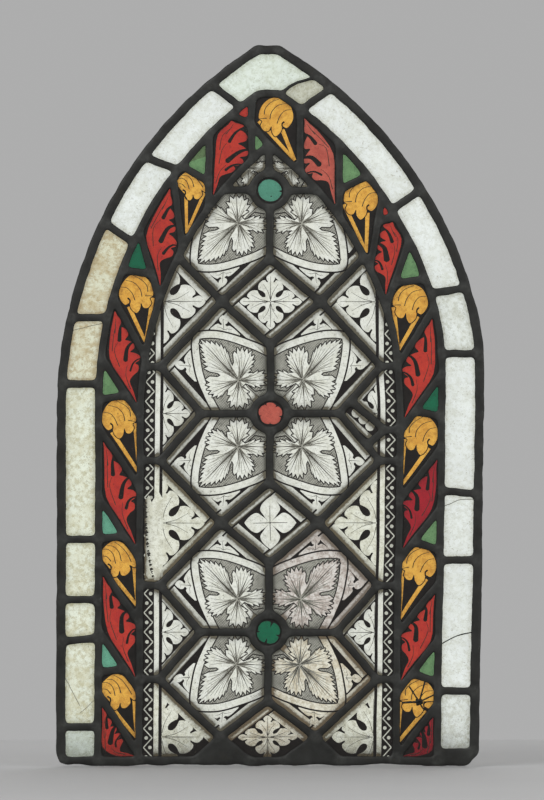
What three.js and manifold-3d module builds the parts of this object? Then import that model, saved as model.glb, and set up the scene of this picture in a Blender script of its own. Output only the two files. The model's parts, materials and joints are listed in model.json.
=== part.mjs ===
// A leaded stained-glass light with a pointed arch, in millimetres.
// The panel stands in the XZ plane: +Z is up, the painted face looks towards -Y, and the origin is
// at the middle of its flat sill edge. Every pane sits in the groove of an H-section lead came.

import * as THREE from 'three';
import { mergeVertices } from 'three/addons/utils/BufferGeometryUtils.js';
import Module from 'manifold-3d';

// ---------- Driving dimensions ----------

const HALF_WIDTH = 238; // half the overall width
const HEIGHT = 800; // sill to the blunted tip
const SPRINGING = 395; // where the outline starts to curve
const TIP = 808; // where the two arcs of the outline would meet

const CAME_WIDTH = 8.4; // flange of an inner came
const HEART = 1.6; // web of a came, between two panes
const FLANGE = 2.2; // thickness of a flange, at its crown
const RIM_WIDTH = 11.5; // perimeter lead
const MEND_WIDTH = 3.2; // thin lead over a mended break
const GLASS = 3.2; // thickness of the glass
const CLEARANCE = 0.3; // between glass and lead, all round

const BORDER_HALF_WIDTH = 190; // lead between the white and the coloured border
const BORDER_SPRINGING = 405;
const BORDER_TIP = 752;
const FIELD_HALF_WIDTH = 144; // lead between the coloured border and the grisaille
const FIELD_SPRINGING = 390;
const FIELD_TIP = 688;

const BOSS_HEIGHTS = [149, 391, 638]; // centres of the quatrefoils, from the sill up
const BOSS_RADIUS = 18.8; // to the middle of the ring came
const FOIL_REACH = 76; // boss to the tips of its quatrefoil
const CROSSING_X = 54; // where the diagonal straps cross
const CROSSING_HEIGHTS = [33, 270, 515, 760]; // below and above each boss
const SIDE_NODE_X = 122; // where they turn back at the edge of the field
const SIDE_NODE_RISE = 52;

const CORNER = 14; // cut off the two lower corners
const CORNER_BULGE = 0.2; // the left one is worn round
const RACK = 7; // how far the foot of the right side has leant inwards
const SPREAD = 0.025; // how much wider the right half is from the haunch up
const SPREAD_FROM = 0.05; // it grows between these shares of the height above the springing
const SPREAD_TO = 0.25;
const TIP_LEAN = 3; // how far the tip leans to the left
const ARC_STEP = 25; // longest chord on a curved lead
const BOSS_SIDES = 20;
const MEET_STEPS = 40; // halvings, when two leads are brought together
const SHORTEST_EDGE = 0.05; // shorter edges of an outline are dropped
const STRAIGHT = 1e-4; // a bend with a smaller sine counts as none
const SAME_VERTEX = 1e-4;

const CHANNEL = GLASS + 2 * CLEARANCE;
const DEPTH = CHANNEL + 2 * FLANGE;
const HALF_CAME = CAME_WIDTH / 2;
const PANE_INSET = HEART / 2 + CLEARANCE;

const LEFT = -1;
const RIGHT = 1;
const SIDE_NAMES = { [LEFT]: 'left', [RIGHT]: 'right' };

// ---------- Plane geometry: points are THREE.Vector2 with x across and y up ----------

const point = (x, y) => new THREE.Vector2(x, y);
const between = (a, b, share) => a.clone().lerp(b, share);
const cross = (a, b) => a.x * b.y - a.y * b.x;

// A vertical line a side that turns into an arc above its springing; the arcs meet in a point.
class ArchLine {
  constructor(halfWidth, springing, tip) {
    this.halfWidth = halfWidth;
    this.springing = springing;
    this.tip = tip;
    const rise = tip - springing;
    this.offset = (rise ** 2 - halfWidth ** 2) / (2 * halfWidth);
    this.radius = halfWidth + this.offset;
  }

  halfWidthAt(height) {
    const rise = Math.max(height - this.springing, 0);
    return Math.sqrt(this.radius ** 2 - rise ** 2) - this.offset;
  }

  at(side, height) {
    return point(side * this.halfWidthAt(height), height);
  }

  // The height reached after a distance along the line, measured from the sill.
  heightAfter(distance) {
    const along = distance - this.springing;
    return along <= 0 ? distance : this.springing + this.radius * Math.sin(along / this.radius);
  }

  angleAt(height) {
    return Math.asin(THREE.MathUtils.clamp((height - this.springing) / this.radius, 0, 1));
  }

  // Points from one height to another, with chords on the curved stretch.
  run(side, from, to) {
    const low = Math.min(from, to);
    const high = Math.max(from, to);
    const start = this.angleAt(low);
    const end = this.angleAt(high);
    const chords = Math.ceil((end - start) * this.radius / ARC_STEP);
    const heights = [low];
    if (low < this.springing && this.springing < high) heights.push(this.springing);
    for (let i = 1; i < chords; i += 1) {
      heights.push(this.springing + this.radius * Math.sin(start + (end - start) * i / chords));
    }
    heights.push(high);
    if (from > to) heights.reverse();
    return heights.map((height) => this.at(side, height));
  }

  // The concentric line a distance inside this one.
  inside(distance) {
    const radius = this.radius - distance;
    const tip = this.springing + Math.sqrt(radius ** 2 - this.offset ** 2);
    return new ArchLine(this.halfWidth - distance, this.springing, tip);
  }

  // Where a straight lead that starts outside the line, and runs down and inwards, reaches it.
  meet(from, direction) {
    let near = 0;
    let far = 2 * BORDER_HALF_WIDTH;
    for (let i = 0; i < MEET_STEPS; i += 1) {
      const middle = (near + far) / 2;
      const trial = from.clone().addScaledVector(direction, middle);
      if (Math.abs(trial.x) > this.halfWidthAt(trial.y)) near = middle;
      else far = middle;
    }
    return from.clone().addScaledVector(direction, near);
  }
}

// Removes repeated points and points on a straight edge, and turns the outline counter-clockwise.
function tidyOutline(points) {
  const distinct = points.filter((p, i) => p.distanceTo(points[(i + 1) % points.length]) > SHORTEST_EDGE);
  const corners = distinct.filter((p, i) => {
    const before = p.clone().sub(distinct.at(i - 1)).normalize();
    const after = distinct[(i + 1) % distinct.length].clone().sub(p).normalize();
    return Math.abs(cross(before, after)) > STRAIGHT;
  });
  return THREE.ShapeUtils.area(corners) < 0 ? corners.reverse() : corners;
}

// Moves every edge inwards by a distance. An edge that shrinks to nothing is dropped.
function insetOutline(points, distance) {
  const corners = tidyOutline(points);
  let edges = corners.map((start, i) => {
    const direction = corners[(i + 1) % corners.length].clone().sub(start).normalize();
    const inwards = point(-direction.y, direction.x);
    return { origin: start.clone().addScaledVector(inwards, distance), direction };
  });
  for (;;) {
    const moved = edges.map((edge, i) => {
      const previous = edges.at(i - 1);
      const gap = edge.origin.clone().sub(previous.origin);
      const share = cross(gap, edge.direction) / cross(previous.direction, edge.direction);
      return previous.origin.clone().addScaledVector(previous.direction, share);
    });
    const lengths = edges.map((edge, i) => {
      return moved[(i + 1) % moved.length].clone().sub(moved[i]).dot(edge.direction);
    });
    const shortest = Math.min(...lengths);
    if (shortest > SHORTEST_EDGE) return moved;
    edges = edges.filter((edge, i) => lengths[i] !== shortest);
  }
}

// The part of an outline that lies inside a convex outline.
function clipOutline(points, convex) {
  let kept = points;
  convex.forEach((start, i) => {
    const edge = convex[(i + 1) % convex.length].clone().sub(start);
    const depth = (p) => cross(edge, p.clone().sub(start));
    kept = kept.flatMap((p, k) => {
      const next = kept[(k + 1) % kept.length];
      const here = depth(p);
      const there = depth(next);
      const own = here >= 0 ? [p] : [];
      return here * there < 0 ? [...own, between(p, next, here / (here - there))] : own;
    });
  });
  return tidyOutline(kept);
}

const mirrored = (points, side) => points.map((p) => point(side * p.x, p.y));

// The panel is a little out of true: below the springing its right side leans in towards the sill,
// and above it the right haunch is fuller than the left and the tip leans to the left.
function racked(p) {
  const below = Math.max(1 - p.y / SPRINGING, 0);
  const above = Math.max((p.y - SPRINGING) / (TIP - SPRINGING), 0);
  const share = (1 + p.x / HALF_WIDTH) / 2;
  const spread = SPREAD * THREE.MathUtils.smoothstep(above, SPREAD_FROM, SPREAD_TO) * Math.max(p.x, 0);
  return point(p.x + spread - RACK * below * share - TIP_LEAN * above ** 2, p.y);
}

// ---------- Layout ----------
// A node is one solid of glass. Its slab is what the lead's groove surrounds, and its sights are
// the openings between the flanges, one for each pane.

const outlineLine = new ArchLine(HALF_WIDTH, SPRINGING, TIP);
const rimLine = outlineLine.inside(RIM_WIDTH - HALF_CAME);
const borderLine = new ArchLine(BORDER_HALF_WIDTH, BORDER_SPRINGING, BORDER_TIP);
const fieldLine = new ArchLine(FIELD_HALF_WIDTH, FIELD_SPRINGING, FIELD_TIP);
const SILL = RIM_WIDTH - HALF_CAME;

const WHITE = 0xd9e0d4;
const GOLD = 0xd9a641;
const RED = 0xb8332c;
const TEAL = 0x4f8f77;
const GREEN = 0x1f7a58;
const GRISAILLE = 0xc9cbbe;
const LEAD = 0x3a3b39;

const nodes = [];

function addNode(name, colour, sights, slab) {
  nodes.push({ name, colour, sights, slab: slab ?? sights[0] });
}

// ----- White border -----

const RIM_TIP = HEIGHT - SILL; // the rim lead is blunted at the tip
const BORDER_BLUNT = 745; // and so is the border lead below it
const MEND_FOOT = 744; // ends of the mending lead across the apex pane
const MEND_HEAD = 762;
const MEND_STEPS = 4;
const MEND_BULGE = 0.4; // four times its rise, over its length

// Heights of a cross lead's two ends, at the rim and at the border lead.
const LEFT_CROSS_LEADS = [[44, 44], [139, 143], [185, 185], [252, 252], [424, 424], [497, 497],
  [602, 580], [675, 661], [755, 730]];
const RIGHT_CROSS_LEADS = [[84, 84], [229, 229], [302, 306], [457, 457], [530, 524], [638, 616],
  [751, 727]];
const RIGHT_FOOT = 1.8 * RIM_WIDTH - HALF_CAME; // the lead is wider below the last right pane

function whiteQuarry(side, [rimFrom, borderFrom], [rimTo, borderTo]) {
  return [...rimLine.run(side, rimFrom, rimTo), ...borderLine.run(side, borderTo, borderFrom)];
}

function addWhiteRun(name, side, leads) {
  const panes = leads.slice(1).map((lead, i) => whiteQuarry(side, leads[i], lead));
  addNode(name, WHITE, panes, whiteQuarry(side, leads[0], leads.at(-1)));
}

// The mending lead across the apex pane bulges upwards. Its two panes overlap along it, so that
// the flange left between their openings is a thin one.
function mendingLine(shift) {
  const foot = borderLine.at(RIGHT, MEND_FOOT);
  const arm = rimLine.at(RIGHT, MEND_HEAD).sub(foot);
  const upwards = point(-arm.y, arm.x).normalize();
  return Array.from({ length: MEND_STEPS + 1 }, (_, i) => {
    const share = i / MEND_STEPS;
    const rise = MEND_BULGE * arm.length() * share * (1 - share) + shift;
    return foot.clone().addScaledVector(arm, share).addScaledVector(upwards, rise);
  });
}

// The pane at the tip lost its right-hand corner, which is a lens-shaped fragment now.
function addApex([rimLeft, borderLeft], [rimRight, borderRight]) {
  const overlap = (CAME_WIDTH - MEND_WIDTH) / 2;
  const common = [borderLine.at(RIGHT, BORDER_BLUNT),
    ...borderLine.run(LEFT, BORDER_BLUNT, borderLeft), ...rimLine.run(LEFT, rimLeft, RIM_TIP)];
  const pane = [...common, ...rimLine.run(RIGHT, RIM_TIP, MEND_HEAD),
    ...mendingLine(-overlap).reverse()];
  const fragment = [...mendingLine(overlap), ...rimLine.run(RIGHT, MEND_HEAD, rimRight),
    ...borderLine.run(RIGHT, borderRight, MEND_FOOT)];
  const whole = [...common, ...rimLine.run(RIGHT, RIM_TIP, rimRight),
    ...borderLine.run(RIGHT, borderRight, MEND_FOOT)];
  addNode('white_border_apex', WHITE, [pane, fragment], whole);
}

function addWhiteBorder() {
  const left = [[SILL, SILL], ...LEFT_CROSS_LEADS];
  const right = [[RIGHT_FOOT, RIGHT_FOOT], ...RIGHT_CROSS_LEADS];
  addWhiteRun('white_border_left_lower', LEFT, left.slice(0, 4));
  addWhiteRun('white_border_left_middle', LEFT, left.slice(3, 7));
  addWhiteRun('white_border_left_upper', LEFT, left.slice(6));
  addWhiteRun('white_border_right_lower', RIGHT, right.slice(0, 5));
  addWhiteRun('white_border_right_upper', RIGHT, right.slice(4));
  addApex(left.at(-1), right.at(-1));
}

// ----- Coloured border -----
// Going up a side, each unit is a red leaf, then a gold leaf with a green triangle above its head.
// Slanting leads lie over each red leaf and over each gold one. They leave the border lead at
// these distances along it from the sill.

const ARCH_SLANT = 44; // degrees between the border lead and a slanting lead
const SIDES = [
  { side: LEFT, slant: 34, overReds: [82, 227, 376, 521, 672], overGolds: [152, 299, 453, 600, 734] },
  { side: RIGHT, slant: 38, overReds: [69, 205, 354, 510, 645], overGolds: [141, 287, 434, 589, 720] },
];
const GREEN_SIDE = 47; // of a green triangle, along the border lead
const GREEN_REACH = 0.64; // how far along the slanting lead its corner is
const BREAK_SIDE = 26; // of the broken corner of one red leaf
const BREAK_REACH = 0.36;
const TURN_RISE = 80; // the slant changes over this height above the springing
const FORK = point(-20, 711); // where the leads of four panes meet, under the apex
const GOLD_TOP_HEIGHTS = { [LEFT]: 740, [RIGHT]: 728 }; // of its leads, on the border lead
const GOLD_TOP_FOOT = 658; // on the field lead, to the right
const GREEN_TOP_FOOT = 672; // and to the left
const RED_TOP_HEAD = 721;
const FIELD_BLUNT = FIELD_TIP - 4; // the tip of the field lead is blunt

function slantedLead(side, straightSlant, distance) {
  const height = borderLine.heightAfter(distance);
  const lean = borderLine.angleAt(height);
  const onArch = THREE.MathUtils.smoothstep(height, BORDER_SPRINGING,
    BORDER_SPRINGING + TURN_RISE);
  const slant = THREE.MathUtils.degToRad(THREE.MathUtils.lerp(straightSlant, ARCH_SLANT, onArch));
  const outer = borderLine.at(side, height);
  const inner = fieldLine.meet(outer, point(side * Math.sin(lean - slant), -Math.cos(lean - slant)));
  return { distance, outer, inner };
}

// The triangle between the border lead and the head of a slanting lead.
function cornerTriangle(side, lead, along, reach) {
  const foot = borderLine.at(side, borderLine.heightAfter(lead.distance - along));
  const tip = between(lead.outer, lead.inner, reach);
  return { foot, tip, pane: [...borderLine.run(side, foot.y, lead.outer.y), tip] };
}

// The glass from one slanting lead up to another, less a corner triangle if it has one.
function borderPane(side, lower, upper, corner) {
  const top = corner ? corner.foot : upper.outer;
  const cut = corner ? [corner.tip] : [];
  return [...borderLine.run(side, lower.outer.y, top.y), ...cut,
    ...fieldLine.run(side, upper.inner.y, lower.inner.y)];
}

// Returns the topmost slanting lead.
function addColouredSide({ side, slant, overReds, overGolds }) {
  const sideName = SIDE_NAMES[side];
  let below = { outer: borderLine.at(side, SILL), inner: fieldLine.at(side, SILL) };
  overReds.forEach((distance, i) => {
    const number = overReds.length - i;
    const overRed = slantedLead(side, slant, distance);
    const overGold = slantedLead(side, slant, overGolds[i]);
    const red = borderPane(side, below, overRed);
    const isBroken = side === RIGHT && number === 1;
    const broken = cornerTriangle(side, overRed, BREAK_SIDE, BREAK_REACH);
    const redSights = isBroken ? [borderPane(side, below, overRed, broken), broken.pane] : [red];
    addNode(`red_leaf_${sideName}_${number + 1}`, RED, redSights, red);
    const green = cornerTriangle(side, overGold, GREEN_SIDE, GREEN_REACH);
    const goldSights = [borderPane(side, overRed, overGold, green), green.pane];
    addNode(`gold_leaf_${sideName}_${number}`, GOLD, goldSights, borderPane(side, overRed, overGold));
    below = overGold;
  });
  return below;
}

// Under the apex: a gold leaf with a green triangle left of its stem, the two topmost red leaves
// and a small red fragment.
function addColouredTop(leftLead, rightLead) {
  const goldLeft = borderLine.at(LEFT, GOLD_TOP_HEIGHTS[LEFT]);
  const goldRight = borderLine.at(RIGHT, GOLD_TOP_HEIGHTS[RIGHT]);
  const goldFoot = fieldLine.at(RIGHT, GOLD_TOP_FOOT);
  const greenFoot = fieldLine.at(LEFT, GREEN_TOP_FOOT);
  const redHead = borderLine.at(LEFT, RED_TOP_HEAD);
  const fieldTip = point(0, FIELD_TIP);
  const goldRest = [...fieldLine.run(RIGHT, FIELD_BLUNT, goldFoot.y),
    ...borderLine.run(RIGHT, goldRight.y, BORDER_BLUNT),
    ...borderLine.run(LEFT, BORDER_BLUNT, goldLeft.y)];
  const greenRest = fieldLine.run(LEFT, greenFoot.y, FIELD_BLUNT);
  addNode('gold_leaf_top', GOLD, [[FORK, fieldTip, ...goldRest], [FORK, ...greenRest, fieldTip]],
    [FORK, ...greenRest, fieldTip, ...goldRest]);

  const redLeft = [...fieldLine.run(LEFT, greenFoot.y, leftLead.inner.y),
    ...borderLine.run(LEFT, leftLead.outer.y, redHead.y)];
  const fragment = [...borderLine.run(LEFT, redHead.y, goldLeft.y), FORK];
  addNode('red_leaf_left_1', RED, [[FORK, ...redLeft], fragment], [...redLeft, ...fragment]);

  addNode('red_leaf_right_1', RED, [[...fieldLine.run(RIGHT, goldFoot.y, rightLead.inner.y),
    ...borderLine.run(RIGHT, rightLead.outer.y, goldRight.y)]]);
}

// ----- Grisaille field -----
// Quatrefoils of vine leaves round coloured bosses, with diamonds between them and half diamonds
// and triangles at the sides. Where the arch or the sill cuts the pattern, the panes are cut too.

const FOILS = ['bottom', 'middle', 'top'];
const DIAMONDS = ['lower', 'middle', 'upper'];
const BOSS_COLOURS = [GREEN, RED, TEAL];
const MEND_JOINT = point(SIDE_NODE_X + 6, BOSS_HEIGHTS[1] - 18); // where three mending cames meet
const INSERT_HEAD = 0.27; // where the inserted fragment ends on the triangle's two slanting edges
const INSERT_FOOT = 0.66;

const fieldOutline = tidyOutline([
  ...fieldLine.run(RIGHT, SILL, FIELD_TIP), ...fieldLine.run(LEFT, FIELD_TIP, SILL),
]);

function addFieldPane(name, outline, colour = GRISAILLE) {
  addNode(name, colour, [clipOutline(tidyOutline(outline), fieldOutline)]);
}

function bossArc(index, from, to) {
  const steps = Math.abs(to - from) * BOSS_SIDES;
  const arc = [];
  for (let i = 0; i <= steps; i += 1) {
    const turn = 2 * Math.PI * (from + (to - from) * i / steps);
    arc.push(point(BOSS_RADIUS * Math.cos(turn), BOSS_HEIGHTS[index] + BOSS_RADIUS * Math.sin(turn)));
  }
  return arc;
}

function vineLeafPane(index, side, up) {
  const boss = BOSS_HEIGHTS[index];
  const crossing = CROSSING_HEIGHTS[up > 0 ? index + 1 : index];
  const ring = mirrored(bossArc(index, 0, up / 4), side);
  return [...ring, point(0, boss + up * FOIL_REACH), point(side * CROSSING_X, crossing),
    point(side * SIDE_NODE_X, boss + up * SIDE_NODE_RISE), point(side * FOIL_REACH, boss)];
}

// The diamond below a quatrefoil.
function diamond(index) {
  const middle = CROSSING_HEIGHTS[index];
  const head = BOSS_HEIGHTS[index] - FOIL_REACH;
  const foot = index > 0 ? BOSS_HEIGHTS[index - 1] + FOIL_REACH : 2 * middle - head;
  return [point(0, foot), point(CROSSING_X, middle), point(0, head), point(-CROSSING_X, middle)];
}

// The half diamond below the side of a quatrefoil, with the strip at the edge of the field.
function sideHalfDiamond(index, side) {
  const middle = CROSSING_HEIGHTS[index];
  const upper = BOSS_HEIGHTS[index] - SIDE_NODE_RISE;
  const lower = index > 0 ? BOSS_HEIGHTS[index - 1] + SIDE_NODE_RISE : 2 * middle - upper;
  return mirrored([point(CROSSING_X, middle), point(SIDE_NODE_X, lower),
    point(FIELD_HALF_WIDTH, lower), point(FIELD_HALF_WIDTH, upper), point(SIDE_NODE_X, upper)], side);
}

// The triangle at the tip of a quatrefoil, with the strip at the edge of the field.
function sideTriangle(index, side) {
  const lower = BOSS_HEIGHTS[index] - SIDE_NODE_RISE;
  const upper = BOSS_HEIGHTS[index] + SIDE_NODE_RISE;
  return mirrored([point(FOIL_REACH, BOSS_HEIGHTS[index]), point(SIDE_NODE_X, lower),
    point(FIELD_HALF_WIDTH, lower), point(FIELD_HALF_WIDTH, upper), point(SIDE_NODE_X, upper)], side);
}

// One of these triangles was broken: a strip of strap and leaf is leaded in beside its lower came.
function addMendedTriangle(name, [tip, lower, lowerEdge, upperEdge, upper]) {
  const insertHead = between(tip, upper, INSERT_HEAD);
  const insertFoot = between(tip, lower, INSERT_FOOT);
  const joinEdge = point(FIELD_HALF_WIDTH, MEND_JOINT.y);
  addFieldPane(`${name}_upper`, [insertHead, MEND_JOINT, joinEdge, upperEdge, upper]);
  addFieldPane(`${name}_insert`, [tip, insertFoot, MEND_JOINT, insertHead]);
  addFieldPane(`${name}_lower`, [MEND_JOINT, insertFoot, lower, lowerEdge, joinEdge]);
}

function addField() {
  BOSS_HEIGHTS.forEach((boss, index) => {
    const foil = FOILS[index];
    const above = 2 * (BOSS_HEIGHTS.length - 1 - index); // side panes above this quatrefoil's
    addFieldPane(`boss_${foil}`, bossArc(index, 0, 1 - 1 / BOSS_SIDES), BOSS_COLOURS[index]);
    addFieldPane(`diamond_${DIAMONDS[index]}`, diamond(index));
    [LEFT, RIGHT].forEach((side) => {
      const sideName = SIDE_NAMES[side];
      addFieldPane(`vine_leaf_${foil}_upper_${sideName}`, vineLeafPane(index, side, 1));
      addFieldPane(`vine_leaf_${foil}_lower_${sideName}`, vineLeafPane(index, side, -1));
      addFieldPane(`side_pane_${sideName}_${above + 1}`, sideHalfDiamond(index, side));
      if (foil === 'top') return;
      const name = `side_pane_${sideName}_${above}`;
      const triangle = sideTriangle(index, side);
      if (foil === 'middle' && side === RIGHT) addMendedTriangle(name, triangle);
      else addFieldPane(name, triangle);
    });
  });
}

// ---------- Solids ----------

// A slab of the given depth, with its middle plane on y = 0 and its outline in the XZ plane.
function slab(outline, depth) {
  const geometry = new THREE.ExtrudeGeometry(new THREE.Shape(outline), { depth, bevelEnabled: false });
  geometry.translate(0, 0, -depth / 2);
  geometry.rotateX(Math.PI / 2);
  return geometry;
}

const wasm = await Module();
wasm.setup();

function toSolid(geometry) {
  geometry.deleteAttribute('normal');
  geometry.deleteAttribute('uv');
  const merged = mergeVertices(geometry, SAME_VERTEX);
  const vertProperties = new Float32Array(merged.attributes.position.array);
  const triVerts = new Uint32Array(merged.index.array);
  return new wasm.Manifold(new wasm.Mesh({ numProp: 3, vertProperties, triVerts }));
}

function toGeometry(solid) {
  const { vertProperties, triVerts } = solid.getMesh();
  const geometry = new THREE.BufferGeometry();
  geometry.setAttribute('position', new THREE.BufferAttribute(vertProperties, 3));
  geometry.setIndex(new THREE.BufferAttribute(triVerts, 1));
  return geometry;
}

// Straight jambs, two arcs and a blunted tip; one lower corner is worn round, the other is cut.
function panelOutline() {
  const right = outlineLine.run(RIGHT, CORNER, HEIGHT);
  const left = outlineLine.run(LEFT, HEIGHT, CORNER);
  const worn = between(point(-HALF_WIDTH, CORNER), point(CORNER - HALF_WIDTH, 0), 0.5);
  worn.add(point(-1, -1).multiplyScalar(CORNER_BULGE * CORNER));
  return tidyOutline([...right, ...left, worn, point(CORNER - HALF_WIDTH, 0),
    point(HALF_WIDTH - CORNER, 0)]).map(racked);
}

// All the cames as one soldered network: the whole panel, less the grooves that the glass stands in
// and the openings between the flanges.
function leadCames() {
  const whole = slab(panelOutline(), DEPTH);
  const grooves = nodes.map((node) => slab(insetOutline(node.slab.map(racked), HEART / 2), CHANNEL));
  const openings = nodes.flatMap((node) => node.sights)
    .map((sight) => slab(insetOutline(sight.map(racked), HALF_CAME), 2 * DEPTH));
  return toGeometry(wasm.Manifold.difference([whole, ...grooves, ...openings].map(toSolid)));
}

function glass(node) {
  return slab(insetOutline(node.slab.map(racked), PANE_INSET), GLASS);
}

const panel = new THREE.Group();

function addMesh(name, geometry, color, roughness, metalness) {
  const mesh = new THREE.Mesh(geometry, new THREE.MeshStandardMaterial({ color, roughness, metalness }));
  mesh.name = name;
  panel.add(mesh);
}

addWhiteBorder();
const [leftTop, rightTop] = SIDES.map(addColouredSide);
addColouredTop(leftTop, rightTop);
addField();
addMesh('lead_cames', leadCames(), LEAD, 0.7, 0.6);
nodes.forEach((node) => addMesh(node.name, glass(node), node.colour, 0.25, 0));

export default panel;
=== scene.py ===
"""The looks of a leaded stained-glass light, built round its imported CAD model.

The openings of the lead are read from the CAD's lead network, so every pane and came sits where the
CAD says. Points in the panel's plane are complex numbers in millimetres: x across, z up. The
painted face looks towards -Y.
"""

import json
import math

import bpy
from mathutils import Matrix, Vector, kdtree, noise
from mathutils.geometry import delaunay_2d_cdt

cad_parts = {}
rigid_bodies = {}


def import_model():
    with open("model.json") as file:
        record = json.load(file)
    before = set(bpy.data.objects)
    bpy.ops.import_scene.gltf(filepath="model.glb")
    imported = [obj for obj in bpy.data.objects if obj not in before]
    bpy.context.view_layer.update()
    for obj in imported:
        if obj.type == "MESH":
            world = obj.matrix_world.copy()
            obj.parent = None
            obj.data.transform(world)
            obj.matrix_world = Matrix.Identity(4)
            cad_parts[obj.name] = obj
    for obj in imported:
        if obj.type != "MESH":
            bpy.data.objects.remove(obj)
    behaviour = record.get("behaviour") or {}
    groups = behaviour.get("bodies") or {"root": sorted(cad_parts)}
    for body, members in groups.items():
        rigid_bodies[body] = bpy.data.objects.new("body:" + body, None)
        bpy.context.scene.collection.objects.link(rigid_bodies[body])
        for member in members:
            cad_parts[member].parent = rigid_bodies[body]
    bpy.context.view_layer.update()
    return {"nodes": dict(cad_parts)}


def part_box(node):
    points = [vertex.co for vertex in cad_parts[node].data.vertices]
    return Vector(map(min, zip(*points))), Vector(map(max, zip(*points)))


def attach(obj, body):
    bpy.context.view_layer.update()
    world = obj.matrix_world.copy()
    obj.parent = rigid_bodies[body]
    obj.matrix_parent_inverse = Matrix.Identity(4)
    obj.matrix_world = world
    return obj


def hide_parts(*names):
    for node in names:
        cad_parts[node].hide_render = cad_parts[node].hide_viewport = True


for left_over in list(bpy.data.objects):
    bpy.data.objects.remove(left_over)

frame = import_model()

MM = 0.001
BODY = "root"
HALF_GLASS = 1.6
PANE_LAP = 1.6          # glass hidden under the lead, all round
HALF_CAME = 4.2
LIP = 2.35              # height of a came's lip above the middle plane
CROWN = 3.85            # and of its crown
HIGHEST_LEAD = 4.05     # no lump of lead or solder stands higher
SEED_STEP = 7.31        # sets the noise of one seed apart from the next


# ---------- Plane geometry ----------

def cross(a, b):
    return a.real * b.imag - a.imag * b.real


def edges_of(polygon):
    return zip(polygon, polygon[1:] + polygon[:1])


def area(polygon):
    return sum(cross(a, b) for a, b in edges_of(polygon)) / 2


def counter_clockwise(polygon):
    return polygon if area(polygon) > 0 else polygon[::-1]


def centroid(polygon):
    total = sum(cross(a, b) for a, b in edges_of(polygon))
    return sum((a + b) * cross(a, b) for a, b in edges_of(polygon)) / (3 * total)


def box_of(polygon):
    xs = [p.real for p in polygon]
    zs = [p.imag for p in polygon]
    return complex(min(xs), min(zs)), complex(max(xs), max(zs))


def contains(polygon, p):
    inside = False
    for a, b in edges_of(polygon):
        if (a.imag > p.imag) != (b.imag > p.imag):
            if p.real < a.real + (b.real - a.real) * (p.imag - a.imag) / (b.imag - a.imag):
                inside = not inside
    return inside


def distance_to(polygon, p):
    best = 1e9
    for a, b in edges_of(polygon):
        along = (b - a).real * (p - a).real + (b - a).imag * (p - a).imag
        share = min(max(along / abs(b - a) ** 2, 0), 1)
        best = min(best, abs(p - a - (b - a) * share))
    return best


def offset(polygon, distances):
    """Moves each edge of a counter-clockwise polygon inwards by its own distance."""
    corners = []
    count = len(polygon)
    for i, corner in enumerate(polygon):
        before = towards(polygon[i - 1], corner)
        after = towards(corner, polygon[(i + 1) % count])
        turn = cross(before, after)
        inner, outer = distances[i - 1], distances[i]
        if abs(turn) < 0.02:
            corners.append(corner + before * 1j * outer)
        else:
            corners.append(corner + (after * inner - before * outer) / turn)
    return corners


def inset(polygon, distance):
    return offset(polygon, [distance] * len(polygon))


def grown(polygon, distance):
    return inset(polygon, -distance)


def resampled(polygon, step):
    points = []
    for a, b in edges_of(polygon):
        count = max(1, round(abs(b - a) / step))
        points += [a + (b - a) * i / count for i in range(count)]
    return points


def smoothed(polygon, passes):
    for _ in range(passes):
        count = len(polygon)
        polygon = [(polygon[i - 1] + 2 * p + polygon[(i + 1) % count]) / 4
                   for i, p in enumerate(polygon)]
    return polygon


def curve(points, steps=4, closed=False):
    """A smooth line through the points."""
    count = len(points)
    line = []
    for i in range(count if closed else count - 1):
        if closed:
            p0, p1, p2, p3 = (points[(i + k) % count] for k in (-1, 0, 1, 2))
        else:
            p0, p1, p2, p3 = (points[min(max(i + k, 0), count - 1)] for k in (-1, 0, 1, 2))
        for k in range(steps):
            t = k / steps
            line.append(0.5 * (2 * p1 + (p2 - p0) * t + (2 * p0 - 5 * p1 + 4 * p2 - p3) * t * t
                               + (3 * p1 - p0 - 3 * p2 + p3) * t ** 3))
    return line if closed else line + [points[-1]]


def direction(turn):
    """The unit vector at an angle in radians."""
    return complex(math.cos(turn), math.sin(turn))


def towards(a, b):
    """The unit vector from one point to another."""
    return (b - a) / abs(b - a)


def smoothstep(low, high, value):
    t = min(max((value - low) / (high - low), 0), 1)
    return t * t * (3 - 2 * t)


def mix(a, b, share):
    return a + (b - a) * share


def wander(p, size, seed):
    """A smooth pseudo-random shift, a complex number with parts in about -1..1."""
    x, z = p.real / size, p.imag / size
    y = seed * SEED_STEP
    return complex(noise.noise((x + 9.3, y, z)), noise.noise((x, y + 1.5, z + 7.9)))


def uneven(p, size, seed):
    """A smooth pseudo-random number in about -1..1."""
    return noise.noise((p.real / size, seed * SEED_STEP, p.imag / size))


def hand_made(p):
    """Where a point of the regular layout really lies: nothing in the panel is quite straight."""
    return p + 0.75 * wander(p, 75, 1) + 0.35 * wander(p, 24, 2)


# ---------- The layout, read from the frame ----------

def open_edges(faces):
    """The directed edges that have a face on one side only."""
    rim = {}
    for face in faces:
        for a, b in edges_of(face):
            if (b, a) in rim:
                del rim[b, a]
            else:
                rim[a, b] = True
    return rim


def border_loops(faces):
    following = dict(open_edges(faces).keys())
    loops = []
    while following:
        start, here = following.popitem()
        loop = [start]
        while here != start and here in following:
            loop.append(here)
            here = following.pop(here)
        if here == start:
            loops.append(loop)
    return loops


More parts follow.
